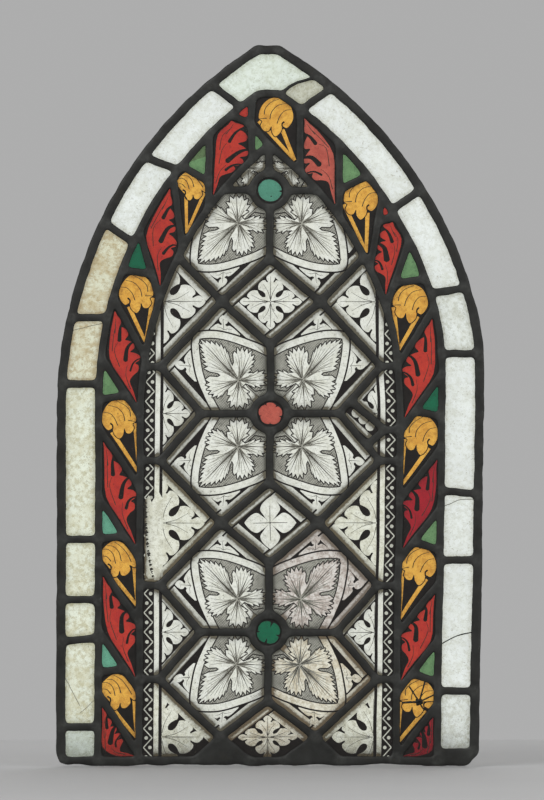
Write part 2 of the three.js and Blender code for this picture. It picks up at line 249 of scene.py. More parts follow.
def face_loops(name):
    """Outline and holes of the front face of a CAD node."""
    mesh = frame["nodes"][name].data
    mesh.calc_loop_triangles()
    front = min(v.co.y for v in mesh.vertices) + 1e-5
    faces = []
    for triangle in mesh.loop_triangles:
        corners = [mesh.vertices[i].co for i in triangle.vertices]
        if max(c.y for c in corners) <= front:
            faces.append([(round(c.x / MM, 2), round(c.z / MM, 2)) for c in corners])
    loops = [counter_clockwise([complex(*key) for key in loop]) for loop in border_loops(faces)]
    return sorted(loops, key=area, reverse=True)


class Pane:
    """A piece of glass: its sight opening, and painted shapes in the order they are laid on."""

    def __init__(self, node, sight):
        self.node = node
        self.sight = sight
        self.layers = []

    def box(self):
        return box_of(self.sight)

    def place(self, x, z):
        """The point at given shares of the pane's box."""
        low, high = self.box()
        return complex(mix(low.real, high.real, x), mix(low.imag, high.imag, z))

    def paint(self, tone, *polygons):
        for polygon in polygons:
            if abs(area(polygon)) > 0.01:
                self.layers.append((tone, counter_clockwise(list(polygon))))

    def draw(self, tone, points, width, end_width=None):
        self.paint(tone, *stroke(points, width, end_width))


def read_panes():
    outline, *openings = face_loops("lead_cames")
    shapes = {name: face_loops(name)[0] for name in frame["nodes"] if name != "lead_cames"}
    found = {name: [] for name in shapes}
    for opening in openings:
        owner = next(name for name, shape in shapes.items() if contains(shape, centroid(opening)))
        found[owner].append(Pane(owner, opening))
    for name, group in found.items():
        if name.startswith("white"):
            group.sort(key=lambda pane: centroid(pane.sight).imag)
        else:
            group.sort(key=lambda pane: -area(pane.sight))
    return outline, openings, found


OUTLINE, OPENINGS, PANES = read_panes()
ALL_PANES = [pane for name in sorted(PANES) for pane in PANES[name]]


def neighbour(a, b):
    """The pane on the other side of the lead along an edge."""
    probe = (a + b) / 2 - towards(a, b) * 1j * (2 * HALF_CAME + 2)
    return next((other for other in ALL_PANES if contains(other.sight, probe)), None)


def is_grisaille(pane):
    return pane is not None and pane.node.startswith(("vine", "diamond", "side_pane"))


def box_centre(name):
    low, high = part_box(name)
    return complex(low.x + high.x, low.z + high.z) / (2 * MM)


# ---------- Brushwork ----------

def stroke(points, width, end_width=None):
    """One quad for each stretch of a painted line. The width may change along it."""
    end_width = width if end_width is None else end_width
    quads = []
    count = len(points) - 1
    for i, (a, b) in enumerate(zip(points, points[1:])):
        if abs(b - a) < 0.02:
            continue
        along = towards(a, b)
        wa = mix(width, end_width, i / count) / 2
        wb = mix(width, end_width, (i + 1) / count) / 2
        a -= along * wa * 0.4
        b += along * wb * 0.4
        side = along * 1j
        quads.append([a - side * wa, b - side * wb, b + side * wb, a + side * wa])
    return quads


def disc(centre, radius, sides=10):
    return [centre + radius * direction(2 * math.pi * i / sides) for i in range(sides)]


def drop(base, tip, width):
    """A rounded eye that ends in a point at its tip."""
    axis = tip - base
    half = width / abs(axis) / 2
    shape = [0, 0.12 + 0.75j * half, 0.38 + 1j * half, 0.7 + 0.7j * half, 1]
    shape += [z.conjugate() for z in shape[-2:0:-1]]
    line = curve(shape, 3, closed=True)
    return [base + axis * z for z in line]


# ----- Vine leaves -----

# The leaf lies in a square whose corner at 0 is the boss's middle. 88 is the middle of the far lead.
QUARTER = 88
LEAF_ROOT = 35 + 37.3j
LEAF_TIP = 79 + 82.5j
TIP_LOBE = 2
TOOTH = 5.2
# Each lobe: the line its teeth reach, how many teeth, and the inlet that follows it.
LEAF_LOBES = [
    ([23.5 + 24j, 22 + 13j, 28 + 6.5j, 36 + 4j, 43 + 6j, 47.5 + 12j, 47.5 + 21j], 8,
     [46.5 + 28j, 48.5 + 26.5j]),
    ([51 + 24j, 56 + 18j, 63 + 17.5j, 68.5 + 22.5j, 71.5 + 30j, 71.5 + 38j], 8,
     [67 + 41.5j, 58 + 41.0j, 55 + 43j, 58 + 45.3j, 67 + 47j]),
    ([73 + 50j, 75.5 + 60j, 77 + 70j, 79.2 + 81.5j, 70 + 81j, 60 + 79.2j, 52 + 75.5j, 47.5 + 69j], 13,
     [46.5 + 66j, 44 + 57j, 42.2 + 53.0j, 40.2 + 57j, 41 + 66j]),
    ([39.5 + 69j, 36.5 + 73.5j, 29 + 73.5j, 21 + 70.5j, 17 + 64j, 17.5 + 56j, 21 + 49j], 9,
     [25.5 + 45j]),
    ([19 + 45.5j, 12 + 49j, 5 + 47j, 2 + 41j, 3 + 34j, 9 + 29.5j, 17 + 29j], 8,
     [27.5 + 34j, 32 + 30j]),
]


def toothed(tip_line, teeth, depth, base):
    """Teeth whose tips lie on a line; the notches between them are cut towards the base."""
    line = curve(tip_line, 5)
    lengths = [abs(b - a) for a, b in zip(line, line[1:])]
    total = sum(lengths)
    tips = []
    for k in range(teeth):
        rest = total * k / (teeth - 1)
        i = 0
        while i < len(lengths) - 1 and rest > lengths[i]:
            rest -= lengths[i]
            i += 1
        tips.append(mix(line[i], line[i + 1], rest / lengths[i]))
    shape = []
    for a, b in zip(tips, tips[1:]):
        middle = mix(a, b, 0.5)
        shape += [a, middle + towards(middle, base) * depth]
    return shape + [tips[-1]], tips


def vine_leaf(pane, put):
    """A five-lobed leaf on a stem from the boss, shaded and veined from its root."""
    outline, rays = [], []
    for tip_line, teeth, inlet in LEAF_LOBES:
        base = mix(LEAF_ROOT, sum(tip_line) / len(tip_line), 0.3)
        shape, tips = toothed(tip_line, teeth, TOOTH, base)
        outline += shape + inlet
        rays.append(tips)
    outline = [put(p) for p in outline]
    root = LEAF_ROOT
    stem = [root + 2.2 - 1.0j, 27.5 + 24j, 18.4 + 13j, 13.2 + 18.4j, 24 + 27.5j, root - 1.0 + 2.2j]
    stem = [put(p) for p in stem]
    pane.draw("dark", stem[:3], 1.5)
    pane.draw("dark", stem[3:], 1.5)
    fork = [31.5 + 24.5j, 25 + 17j, 27 + 6j]
    pane.draw("dark", [put(p) for p in fork], 1.3)
    pane.draw("dark", [put(complex(p.imag, p.real)) for p in fork], 1.3)
    pane.paint("clear", stem)
    pane.draw("dark", outline + outline[:1], 2.3)
    pane.paint("clear", outline)
    for tips in rays:
        centre = LEAF_TIP if tips is rays[TIP_LOBE] else tips[len(tips) // 2]
        shade = [root, mix(root, centre, 0.22), mix(root, centre, 0.6)]
        pane.draw("shade", [put(p) for p in shade], 4.2, 0.8)
        for edge in (tips[1], tips[-2]):
            inside = mix(edge, centre, 0.22)
            shade = [root, mix(root, inside, 0.3), mix(root, inside, 0.72)]
            pane.draw("shade", [put(p) for p in shade], 2.6, 0.5)
        for k, tip in enumerate(tips):
            bend = mix(root, tip, 0.45) + (centre - tip) * 0.10
            line = [mix(root, bend, 0.5 if k % 2 else 0.3), bend, mix(root, tip, 0.82)]
            pane.draw("vein", [put(p) for p in curve(line, 3)], 0.62, 0.30)
        pane.draw("line", [put(root), put(mix(root, centre, 0.93))], 1.1, 0.3)
    pane.draw("vein", [put(root), put(27 + 27.5j)], 0.6, 0.4)


TREFOIL_HEIGHT = 15.5
TREFOIL_REACH = 15
TREFOIL = [TREFOIL_HEIGHT, 13.6 + 2.9j, 10.6 + 4.4j, 7.8 + 3.3j, 6.2 + 1.5j, 5.0 + 3.4j, 6.3 + 5.6j,
           5.2 + 8.6j, 3.2 + 11.5j, 0.4 + 15j]


def trefoil(pane, base, tip, corners):
    """A small three-lobed leaf that fills a corner between two straps, its foot on the heart."""
    up = (tip - base) / TREFOIL_HEIGHT
    lines = []
    for corner in corners:
        out = (corner - base) / TREFOIL_REACH

        def put(z):
            return base + up * z.real + out * z.imag

        half = [put(z) for z in curve(TREFOIL, 2)] + [put(-2 + 15j), put(-2)]
        pane.paint("clear", [put(TREFOIL_HEIGHT)] + half)
        lines += stroke([put(z) for z in curve([0.6 + 0.6j, 2.4 + 3.5j, 2.6 + 8j], 2)], 0.6, 0.25)
    pane.paint("line", *lines)
    pane.draw("line", [base, base + up * 11], 0.7, 0.3)


# Widths of the straps, from the leads to the black ground.
VINE_STRAP = 7.2
DIAMOND_STRAP = 7.6
SIDE_STRAP = 8.2
NARROW_STRAP = 4.6


def strap_ground(pane, width):
    """The black ground inside the straps that run beside the slanting leads."""
    distances = []
    for a, b in edges_of(pane.sight):
        slope = math.degrees(math.atan2(abs((b - a).imag), abs((b - a).real)))
        slants = 20 < slope < 70 and abs(b - a) > 8
        has_strap = slants and is_grisaille(neighbour(a, b))
        distances.append(width if has_strap else -6.0)
    return offset(pane.sight, distances)


def paint_straps(pane, width):
    """Clear straps beside the slanting leads, a dark line along them, and a black ground inside."""
    ground = strap_ground(pane, width)
    pane.paint("dark", ground)
    for a, b in edges_of(ground):
        along = towards(a, b)
        rises_to_the_right = 0.4 < along.imag / (along.real + 1e-6) < 2.7
        if rises_to_the_right and abs(b - a) > 12:
            pane.draw("dark", [a - along * 14, b + along * 14], 2.0)


# The outer line of the heart-shaped band round the leaf.
HEART = [-7 + 69j, 1.5 + 73.2j, 12.6 + 78.8j, 23.7 + 83.2j, 34.7 + 87j, 45.8 + 90.2j, 57 + 92.3j,
         69 + 93j, 79.5 + 92j, 86 + 88.5j, 88.3 + 79j, 87.8 + 68j, 86.2 + 57j, 83.8 + 45j,
         80.5 + 34j, 76 + 23j, 71 + 12j, 65 + 1j, 59 - 9j]


def paint_vine_pane(pane, boss, middle_edge):
    """One quarter of a quatrefoil. middle_edge is the middle of the pane's outer edge."""
    reach = (middle_edge - boss) / QUARTER

    def put(p):
        return boss + complex(p.real * reach.real, p.imag * reach.imag)

    paint_straps(pane, VINE_STRAP)
    trefoil(pane, put(51.3 + 92.4j), put(52.8 + 108.8j), (put(66.5 + 93.5j), put(33.5 + 87.5j)))
    trefoil(pane, put(87.6 + 52.5j), put(105.5 + 53.5j), (put(88.5 + 70j), put(83 + 36j)))
    heart = curve(HEART, 3) + [50 - 20j, -20 - 20j, -20 + 60j]
    heart = counter_clockwise([put(p) for p in heart])
    pane.paint("dark", heart)
    for tone, depth in (("clear", 1.8), ("dark", 9.0), ("hatch", 10.3)):
        pane.paint(tone, inset(heart, depth))
    vine_leaf(pane, put)


# ----- Cross leaves, flowers and bosses -----

# Half an arm of a cross leaf: degrees from the arm's axis, share of its reach.
CROSS_QUARTER = [(0, 1.0), (6, 0.93), (9.5, 0.85), (8.5, 0.765), (6.8, 0.70), (10.5, 0.705),
                 (13, 0.775), (19, 0.79), (27, 0.755), (34, 0.70), (40, 0.62), (45, 0.52)]


def cross_leaf(pane, centre, reach_x, reach_z, arms):
    """Arms of a leaf with a trefoil tip, a rounded lobe on each side and an eye between arms."""
    eye = 0.17 * min(reach_x, reach_z)

    def put(turn, r):
        t = math.radians(turn)
        return centre + complex(reach_x * r * math.cos(t), reach_z * r * math.sin(t))

    for arm in arms:
        quarter = [(90 * arm + t, r) for t, r in CROSS_QUARTER]
        mirrored = [(90 * arm - t, r) for t, r in CROSS_QUARTER[:0:-1]]
        blade = curve([put(*q) for q in mirrored + quarter], 2)
        pane.paint("clear", [centre] + blade)
    for arm in arms:
        for turn in (90 * arm - 45, 90 * arm + 45):
            pane.paint("dark", drop(put(turn, 0.24), put(turn, 0.60), eye))
        pane.draw("line", [put(90 * arm, r) for r in (0.02, 0.9)], 0.9, 0.35)
        for sign in (-1, 1):
            vein = [put(90 * arm + sign * t, r) for t, r in ((10, 0.1), (13, 0.35), (21, 0.66))]
            pane.draw("line", curve(vein, 3), 0.7, 0.3)


def four_petals(pane, centre, reach_x, reach_z):
    for turn in range(4):
        axis = 1j ** turn

        def put(z):
            z = z * axis
            return centre + complex(z.real * reach_x, z.imag * reach_z)

        half = [1.0, 0.88 + 0.16j, 0.70 + 0.32j, 0.50 + 0.38j, 0.32 + 0.27j, 0.18 + 0.17j]
        petal = curve(half, 3)
        petal += [0] + [z.conjugate() for z in petal[:0:-1]]
        pane.paint("clear", [put(z) for z in petal])
        pane.draw("line", [put(0.0), put(0.66 + 0.01j)], 0.9, 0.5)


def paint_diamond(pane, leaf):
    """A cross leaf or four petals in a diamond, whose lowest corner may be cut off."""
    corners = grown(pane.sight, HALF_CAME)
    left = min(corners, key=lambda p: p.real)
    right = max(corners, key=lambda p: p.real)
    top = max(corners, key=lambda p: p.imag)
    centre = (left + right) / 2
    reach_z = (top - centre).imag - 16
    paint_straps(pane, DIAMOND_STRAP)
    if leaf:
        cross_leaf(pane, centre, (right - left).real / 2 - 20, reach_z, range(4))
    else:
        four_petals(pane, centre + 0.8, (right - left).real / 2 - 25, reach_z)


# Number of lobes, degrees to a gap between two of them, and notches: degrees, depth, width.
FLOWERS = {"boss_bottom": (4, 75, [(72, 8.2, 4.6), (176, 4.6, 2.8), (256, 7.6, 4.4), (343, 5.6, 3.2)]),
           "boss_middle": (5, 54, [(52, 4.8, 4.6), (117, 4.2, 3.2), (193, 4.2, 2.0), (268, 4.4, 2.2),
                                   (345, 4.8, 2.4)]),
           "boss_top": (0, 0, [(-2, 4.6, 3.0), (-30, 1.4, 2.6), (142, 1.2, 2.4), (205, 1.3, 3.0)])}


def paint_boss(pane):
    """A round of coloured glass whose dark rim leaves a flower, cut by notches."""
    low, high = pane.box()
    centre = (low + high) / 2
    lobes, turn, notches = FLOWERS[pane.node]
    pane.paint("dark", disc(centre, 22, 16))
    rim = []
    for k in range(48):
        t = 2 * math.pi * k / 48
        swell = abs(math.sin(lobes * (t - math.radians(turn)) / 2)) ** 0.7 if lobes else 0.8
        radius = 11.3 + 1.6 * swell + 0.5 * math.sin(2.3 + 2 * t)
        rim.append(centre + radius * direction(t))
    pane.paint("clear", rim)
    for degrees, depth, width in notches:
        out = direction(math.radians(degrees))
        wedge = [13.8 - depth, 13.8 - 0.7 * depth - 0.16j * width, 12.2 - 0.40j * width,
                 15 - 0.62j * width, 15 + 0.62j * width, 12.2 + 0.34j * width,
                 13.8 - 0.65 * depth + 0.15j * width]
        pane.paint("dark", [centre + out * z for z in wedge])
    if pane.node == "boss_top":
        pane.paint("dark", disc(centre + 1.4 - 6.5j, 0.8, 7))


# ----- Side panes: strip of zigzag and dots, fillet, half a leaf -----

STRIP = 12.0
FILLET = 5.3
FILLET_LINE = 3.4       # the dark line inside the fillet
LEAF_FIELD = STRIP + FILLET + FILLET_LINE
ZIGZAG_PITCH = 21.3


def field_edges(side, word):
    """Corners of the openings along the outer edge of the grisaille on one side."""
    points = []
    for name, group in PANES.items():
        if not name.startswith("side_pane_" + word):
            continue
        for pane in group:
            for a, b in edges_of(pane.sight):
                upright = abs((b - a).real) < 0.08 * abs((b - a).imag)
                if upright and side * a.real > 120 and abs(b - a) > 20:
                    points += [a, b]
    return sorted(points, key=lambda p: p.imag)


SIDES = {"left": -1, "right": 1}
FIELD_EDGES = {side: field_edges(side, word) for word, side in SIDES.items()}


def edge_point(side, z, depth=0.0):
    """The point at a height, and at a depth inside the outer edge of the grisaille."""
    points = FIELD_EDGES[side]
    if z >= points[-1].imag:
        return complex(points[-1].real - side * depth, z)
    below = max((p for p in points if p.imag <= z), key=lambda p: p.imag, default=points[0])
    above = min((p for p in points if p.imag > z), key=lambda p: p.imag)
    x = below.real
    if above.imag - below.imag >= 0.01:
        x = mix(below.real, above.real, (z - below.imag) / (above.imag - below.imag))
    return complex(x - side * depth, z)


def paint_strips(pane, side, worn=None):
    """The zigzag strip and the fillet beside it. worn is the share of their height that has gone."""
    low, high = pane.box()
    bottom, top = low.imag - 8, high.imag + 8
    heights = [bottom + (top - bottom) * i / 6 for i in range(7)]

    def band(near, far):
        inner = [edge_point(side, z, far) for z in heights]
        outer = [edge_point(side, z, near) for z in heights]
        return inner + outer[::-1]

    pane.paint("dark", band(-8, STRIP))
    first = math.floor(bottom / ZIGZAG_PITCH) * 2
    corners = []
    for k in range(first, first + 2 * int((top - bottom) / ZIGZAG_PITCH) + 6):
        corners.append(edge_point(side, k * ZIGZAG_PITCH / 2, 10.6 if k % 2 else 1.0))
    bent = []
    for a, b in zip(corners, corners[1:]):
        bent += [mix(a, b, 0.04), mix(a, b, 0.5), mix(a, b, 0.96)]
    pane.draw("pale", bent, 1.2)
    for k, corner in enumerate(corners):
        depth = 4.0 if (first + k) % 2 else 8.2
        pane.paint("pale", disc(edge_point(side, corner.imag, depth), 2.05, 9))
    pane.paint("clear", band(STRIP, STRIP + FILLET))
    pane.paint("dark", band(STRIP + FILLET, LEAF_FIELD))
    if worn is not None:
        paint_worn_strip(pane, side, low.imag, mix(low.imag, high.imag, worn))


def paint_worn_strip(pane, side, bottom, top):
    """The lower part of a strip whose paint has gone, but for specks along its outer edge."""
    rows = [bottom - 4 + (top - bottom + 4) * k / 16 for k in range(17)]
    outer = [edge_point(side, z, 1.6 + 1.5 * uneven(complex(0, z), 5, 51)) for z in rows]
    inner = [edge_point(side, z, LEAF_FIELD + 1 + 2.2 * uneven(complex(9, z), 9, 52)) for z in rows]
    head = [outer[-1] - side * across + rise * 1j for across, rise in ((4, 5), (7, -3), (10, 2), (15, 9))]
    pane.paint("clear", counter_clockwise(outer + head + inner[::-1]))
    for k in range(30):
        z = mix(bottom + 3, top - 2, k * 0.618 % 1)
        at = edge_point(side, z, 1.8 + 9 * (k * 0.382 % 1) ** 2)
        size = 0.6 + 1.3 * (k * 0.271 % 1)
        pane.paint("line", [at + size * q for q in (1.5, 0.4 + 1.1j, -1.1 + 0.5j, -0.6 - 1.2j)])


def paint_side_pane(pane, side, strap, rise, worn=None):
    """Half a cross leaf beside the strips. rise is the slope of the pane's slanting leads."""
    corners = grown(pane.sight, HALF_CAME)
    tip = min(corners, key=lambda p: side * p.real)
    paint_straps(pane, strap)
    centre = edge_point(side, tip.imag, LEAF_FIELD)
    reach = abs(centre.real - tip.real)
    mitre = (strap + HALF_CAME) * 1.42
    arm = 2 if side > 0 else 0
    cross_leaf(pane, centre, reach - mitre - 0.5, reach * rise - mitre - 1.5, (arm, 1, 3))
    paint_strips(pane, side, worn)


# ----- Coloured border -----

def chains(polygon, start, end):
    """The two ways round a polygon from one vertex to another."""
    i, j = polygon.index(start), polygon.index(end)
    around = polygon[i:] + polygon[:i]
    cut = (j - i) % len(polygon)
    return around[:cut + 1], [start] + around[:cut - 1:-1]


def along_line(line, share):
    """The point at a share of a line's length."""
    rest = share * sum(abs(b - a) for a, b in zip(line, line[1:]))
    for a, b in zip(line, line[1:]):
        if rest <= abs(b - a) and a != b:
            return mix(a, b, rest / abs(b - a))
        rest -= abs(b - a)
    return line[-1]


def leaf_map(pane, side):
    """Maps (down, across) in the unit square to a pane between its top and its foot."""
    polygon = pane.sight
    top = max(polygon, key=lambda p: p.imag)
    foot = max(polygon, key=lambda p: -p.imag - 0.25 * side * p.real)
    outer, inner = sorted(chains(polygon, top, foot),
                          key=lambda line: -side * sum(p.real for p in line) / len(line))

    def put(down, across):
        return mix(along_line(outer, down), along_line(inner, down), across)

    return put


# Points in a red pane as (down, across): the lobed edge, the smooth back, the dark hooks between
# lobes with their widths at both ends, and trace lines.
RED_EDGE = [(0.025, 0.50), (0.08, 0.80), (0.125, 0.95), (0.17, 0.90), (0.20, 0.70), (0.225, 0.86),
            (0.265, 0.99), (0.31, 0.95), (0.34, 0.74), (0.365, 0.88), (0.405, 1.0), (0.45, 0.96),
            (0.475, 0.78), (0.50, 0.90), (0.54, 1.0), (0.58, 0.95), (0.60, 0.80), (0.63, 0.93),
            (0.68, 0.93), (0.71, 0.70), (0.76, 0.44), (0.86, 0.50), (0.97, 0.62), (0.985, 0.42)]
RED_BACK = [(0.90, 0.16), (0.75, 0.08), (0.5, 0.07), (0.25, 0.10), (0.10, 0.22)]
RED_HOOKS = [((0.20, 0.80), (0.24, 0.62), (0.32, 0.50), 1.0, 4.6),
             ((0.395, 0.92), (0.435, 0.71), (0.54, 0.50), 1.2, 5.8),
             ((0.57, 0.88), (0.60, 0.71), (0.66, 0.58), 1.0, 3.0)]
RED_TRACES = [((0.16, 0.45), (0.26, 0.27), (0.42, 0.20)), ((0.34, 0.42), (0.42, 0.27), (0.60, 0.22)),
              ((0.10, 0.55), (0.18, 0.40), (0.24, 0.34)), ((0.60, 0.50), (0.70, 0.33), (0.84, 0.30))]


def paint_red(pane, side, seed):
    """A long leaf with a smooth back, lobes towards the middle of the window and dark hooks."""
    place = leaf_map(pane, side)

    def put(down, across):
        drift = wander(complex(60 * down, 25 * across), 22, seed)
        return place(min(max(down + 0.035 * drift.real, 0), 1), across + 0.05 * drift.imag)

    pane.paint("dark", grown(pane.sight, 4))
    edge = curve([put(*p) for p in RED_EDGE + RED_BACK], 3, closed=True)
    pane.paint("clear", edge)
    for start, bend, end, thin, thick in RED_HOOKS:
        grow = 1.0 + 0.35 * uneven(complex(*start) * 40, 9, seed)
        line = curve([put(start[0], 1.05), put(*start), put(*bend), put(*end)], 3)
        pane.draw("dark", line, thin, thick * grow)
        pane.paint("dark", disc(put(*end), thick * grow / 2, 8))
    for line in RED_TRACES:
        pane.draw("line", curve([put(*p) for p in line], 3), 0.4, 0.9)


# Heads of gold leaves as they lie in the panes on the left, in millimetres from their middles:
# outline, trace lines and the dark curl.
CURLED_HEAD = (
    [-19.8 + 4.7j, -14.2 + 12.8j, -4.7 + 18.6j, 4.7 + 16.8j, 10.6 + 10.5j, 16 + 3j, 20.3 - 6.3j,
     17.4 - 9.5j, 12.4 - 6.6j, 13.3 - 12.6j, 8.7 - 18.2j, 4 - 17.7j, 2.0 - 12.4j, 0.6 - 17.4j,
     -2.8 - 20.2j, -7.6 - 17.7j, -8.3 - 12.6j, -12.6 - 7.6j, -18.2 - 1j],
    [[-18.5 + 9j, -11.9 + 9.6j, -6.0 + 4.5j, -3.2 - 5j],
     [-4.2 + 17.5j, 3.4 + 12.5j, 10 + 4.7j, 14.5 - 3.5j],
     [-12.6 + 13.5j, -5.5 + 12.4j, 0.5 + 6.5j, 3.2 - 2j],
     [-16.6 + 2.2j, -12.2 + 1.2j, -8.4 - 3j]],
    [-11.5 - 6.2j, -8.6 - 8.0j, -8.2 - 11.4j, -9.6 - 14.0j, -6.4 - 18.2j])
ROUND_HEAD = (
    [-18.6 - 1.6j, -16.8 + 7.1j, -11.8 + 14.2j, -4.7 + 18.6j, 4.7 + 18.8j, 12.6 + 13.6j,
     17.4 + 5j, 18.2 - 3.4j, 14.6 - 6.6j, 16.2 - 11.6j, 12.6 - 16.6j, 7.9 - 16.4j, 5 - 11.4j,
     4.3 - 17.6j, 0.4 - 22.6j, -5.6 - 17.4j, -7.6 - 11.6j, -12.2 - 13.4j, -16.8 - 8.7j],
    [[-16.6 + 6j, -9.5 + 4.7j, -4.2 - 1.5j, -1.8 - 8.5j],
     [-11.5 + 13.2j, -2 + 10.4j, 4.4 + 3.4j, 6.2 - 4j],
     [-3.5 + 18j, 6 + 13.6j, 11.6 + 7.4j, 12.6 + 1j],
     [18 - 4.2j, 13.4 - 3.6j, 10.2 - 3.4j]],
    [-9.2 - 6.6j, -7.2 - 8.6j, -7.4 - 12j, -9.6 - 14.6j])


def section(polygon, z):
    """Where a level line enters and leaves a polygon."""
    hits = [a.real + (b.real - a.real) * (z - a.imag) / (b.imag - a.imag)
            for a, b in edges_of(polygon) if (a.imag > z) != (b.imag > z)]
    return min(hits), max(hits)


def paint_gold(pane, side, seed, head):
    """A leaf that curls over on two stems, which meet at the pane's foot."""
    pane.paint("dark", grown(pane.sight, 4))
    low, high = pane.box()
    outline, lines, curl = head
    left, right = section(pane.sight, high.imag - 19)
    scale = min(1.03, (right - left) / 35)
    centre = complex((left + right) / 2, high.imag - 19.6 * scale)
    foot = min(pane.sight, key=lambda p: p.imag) + complex(-side * 2.2, 4.5)

    def put(z):
        z += 0.9 * wander(z, 14, seed)
        return centre + scale * complex(-side * z.real, z.imag)

    for start, width in ((-7.5 - 16j, 4.6), (17.5 - 7j, 4.4)):
        start = put(start)
        bend = mix(start, foot, 0.5) + 0.8 * wander(start, 9, seed)
        pane.draw("clear", curve([start, bend, foot], 3), width * scale, 3.4 * scale)
    shape = curve([put(z) for z in outline], 3, closed=True)
    pane.draw("dark", shape + shape[:1], 2.0)
    pane.paint("clear", shape)
    for line in lines:
        pane.draw("line", curve([put(z) for z in line], 3), 0.5, 1.05)
    pane.draw("dark", curve([put(z) for z in curl], 3), 1.9, 1.2)


# ---------- Painting every pane ----------

LEVELS = {"upper": 1, "lower": -1}


def to_middle_of_outer_edge(foil, level, word):
    """From a boss to the middle of the far lead of one of the four panes round it."""
    corners = grown(PANES[f"vine_leaf_{foil}_{level}_{word}"][0].sight, HALF_CAME)
    side = SIDES[word]
    up = LEVELS[level]
    node = max(corners, key=lambda p: side * p.real)
    crossing = max(corners, key=lambda p: up * p.imag)
    return (node + crossing) / 2 - box_centre("boss_" + foil)


def paint_foil(foil):
    """The four vine panes round a boss, and the boss. The top foil has the middle one's pattern."""
    boss = box_centre("boss_" + foil)
    pattern = "middle" if foil == "top" else foil
    for level in LEVELS:
        for word in SIDES:
            reach = to_middle_of_outer_edge(pattern, level, word)
            if (foil, level) == ("top", "upper"):
                reach *= 0.66
            paint_vine_pane(PANES[f"vine_leaf_{foil}_{level}_{word}"][0], boss, boss + reach)
    paint_boss(PANES["boss_" + foil][0])


def paint_mended(pane, part):
    """The broken triangle on the right, with a strip of other glass let into it."""
    if part == "insert":
        pane.paint("dark", grown(pane.sight, 3))
        start, end = pane.place(0, 1), pane.place(1, 0)
        along = towards(start, end)
        across = along * 1j
        bar = [start + along * 8 - across * 6.5, start + along * 46 - across * 5.0]
        pane.draw("clear", bar, 6.0, 5.4)
        for k in range(3):
            pane.paint("clear", disc(start + along * (15 + 10.5 * k) + across * 3.8, 5.3, 12))
        return
    pane.paint("dark", strap_ground(pane, NARROW_STRAP))
    centre = edge_point(SIDES["right"], box_centre("boss_middle").imag, LEAF_FIELD)
    cross_leaf(pane, centre, 28, 33, (2, 1, 3))
    paint_strips(pane, SIDES["right"])


def paint_everything():
    for foil in ("bottom", "middle", "top"):
        paint_foil(foil)
    paint_diamond(PANES["diamond_lower"][0], True)
    paint_diamond(PANES["diamond_middle"][0], False)
    paint_diamond(PANES["diamond_upper"][0], True)
    for word, side in SIDES.items():
        for number in (1, 3, 5):
            worn = 0.7 if (word, number) == ("left", 3) else None
            paint_side_pane(PANES[f"side_pane_{word}_{number}"][0], side, SIDE_STRAP, 1.03, worn)
    for word, number in (("left", 2), ("left", 4), ("right", 4)):
        paint_side_pane(PANES[f"side_pane_{word}_{number}"][0], SIDES[word], NARROW_STRAP, 1.12)
    for part in ("upper", "insert", "lower"):
        paint_mended(PANES["side_pane_right_2_" + part][0], part)
    for word, side in SIDES.items():
        for number in range(1, 7):
            paint_red(PANES[f"red_leaf_{word}_{number}"][0], side, 20 + number + 9 * side)
        for number in range(1, 6):
            curled = word == "left" and number in (1, 4, 5)
            head = CURLED_HEAD if curled else ROUND_HEAD
            paint_gold(PANES[f"gold_leaf_{word}_{number}"][0], side, 40 + number + 9 * side, head)
    paint_gold(PANES["gold_leaf_top"][0], 1, 60, ROUND_HEAD)
    shaded = PANES["gold_leaf_left_1"][1]
    shaded.paint("olive", [shaded.place(0, 0.35) - 4, shaded.place(0.6, 0.52),
                           shaded.place(1, 0.62) + 4, shaded.place(1, 1) + 4 + 4j,
                           shaded.place(0, 1) - 4 + 4j])


# Breaks across white panes: node, number of the pane in it, points in its box, width.
CRACKS = [("white_border_right_lower", 2, [(-0.1, 0.80), (0.25, 0.86), (0.55, 0.92), (1.1, 0.925)], 0.7),
          ("white_border_left_middle", 2, [(-0.1, 0.80), (0.45, 0.89), (1.1, 0.99)], 0.6),
          ("white_border_left_lower", 1, [(-0.1, 0.62), (0.2, 0.42), (0.5, 0.22)], 0.6),
          ("white_border_left_lower", 1, [(0.5, 0.12), (0.7, 0.18), (1.1, 0.32)], 0.5)]


def paint_cracks():
    for name, number, path, width in CRACKS:
        pane = PANES[name][number]
        line = curve([pane.place(*share) for share in path], 4)
        pane.draw("vein", [p + 0.5 * wander(p, 4, 31) for p in line], width)


paint_everything()
paint_cracks()


# ---------- Materials ----------

# Places of the sockets of a Mix node that blends colours.
MIX_FACTOR, MIX_A, MIX_B = 0, 6, 7
MIX_RESULT = 2


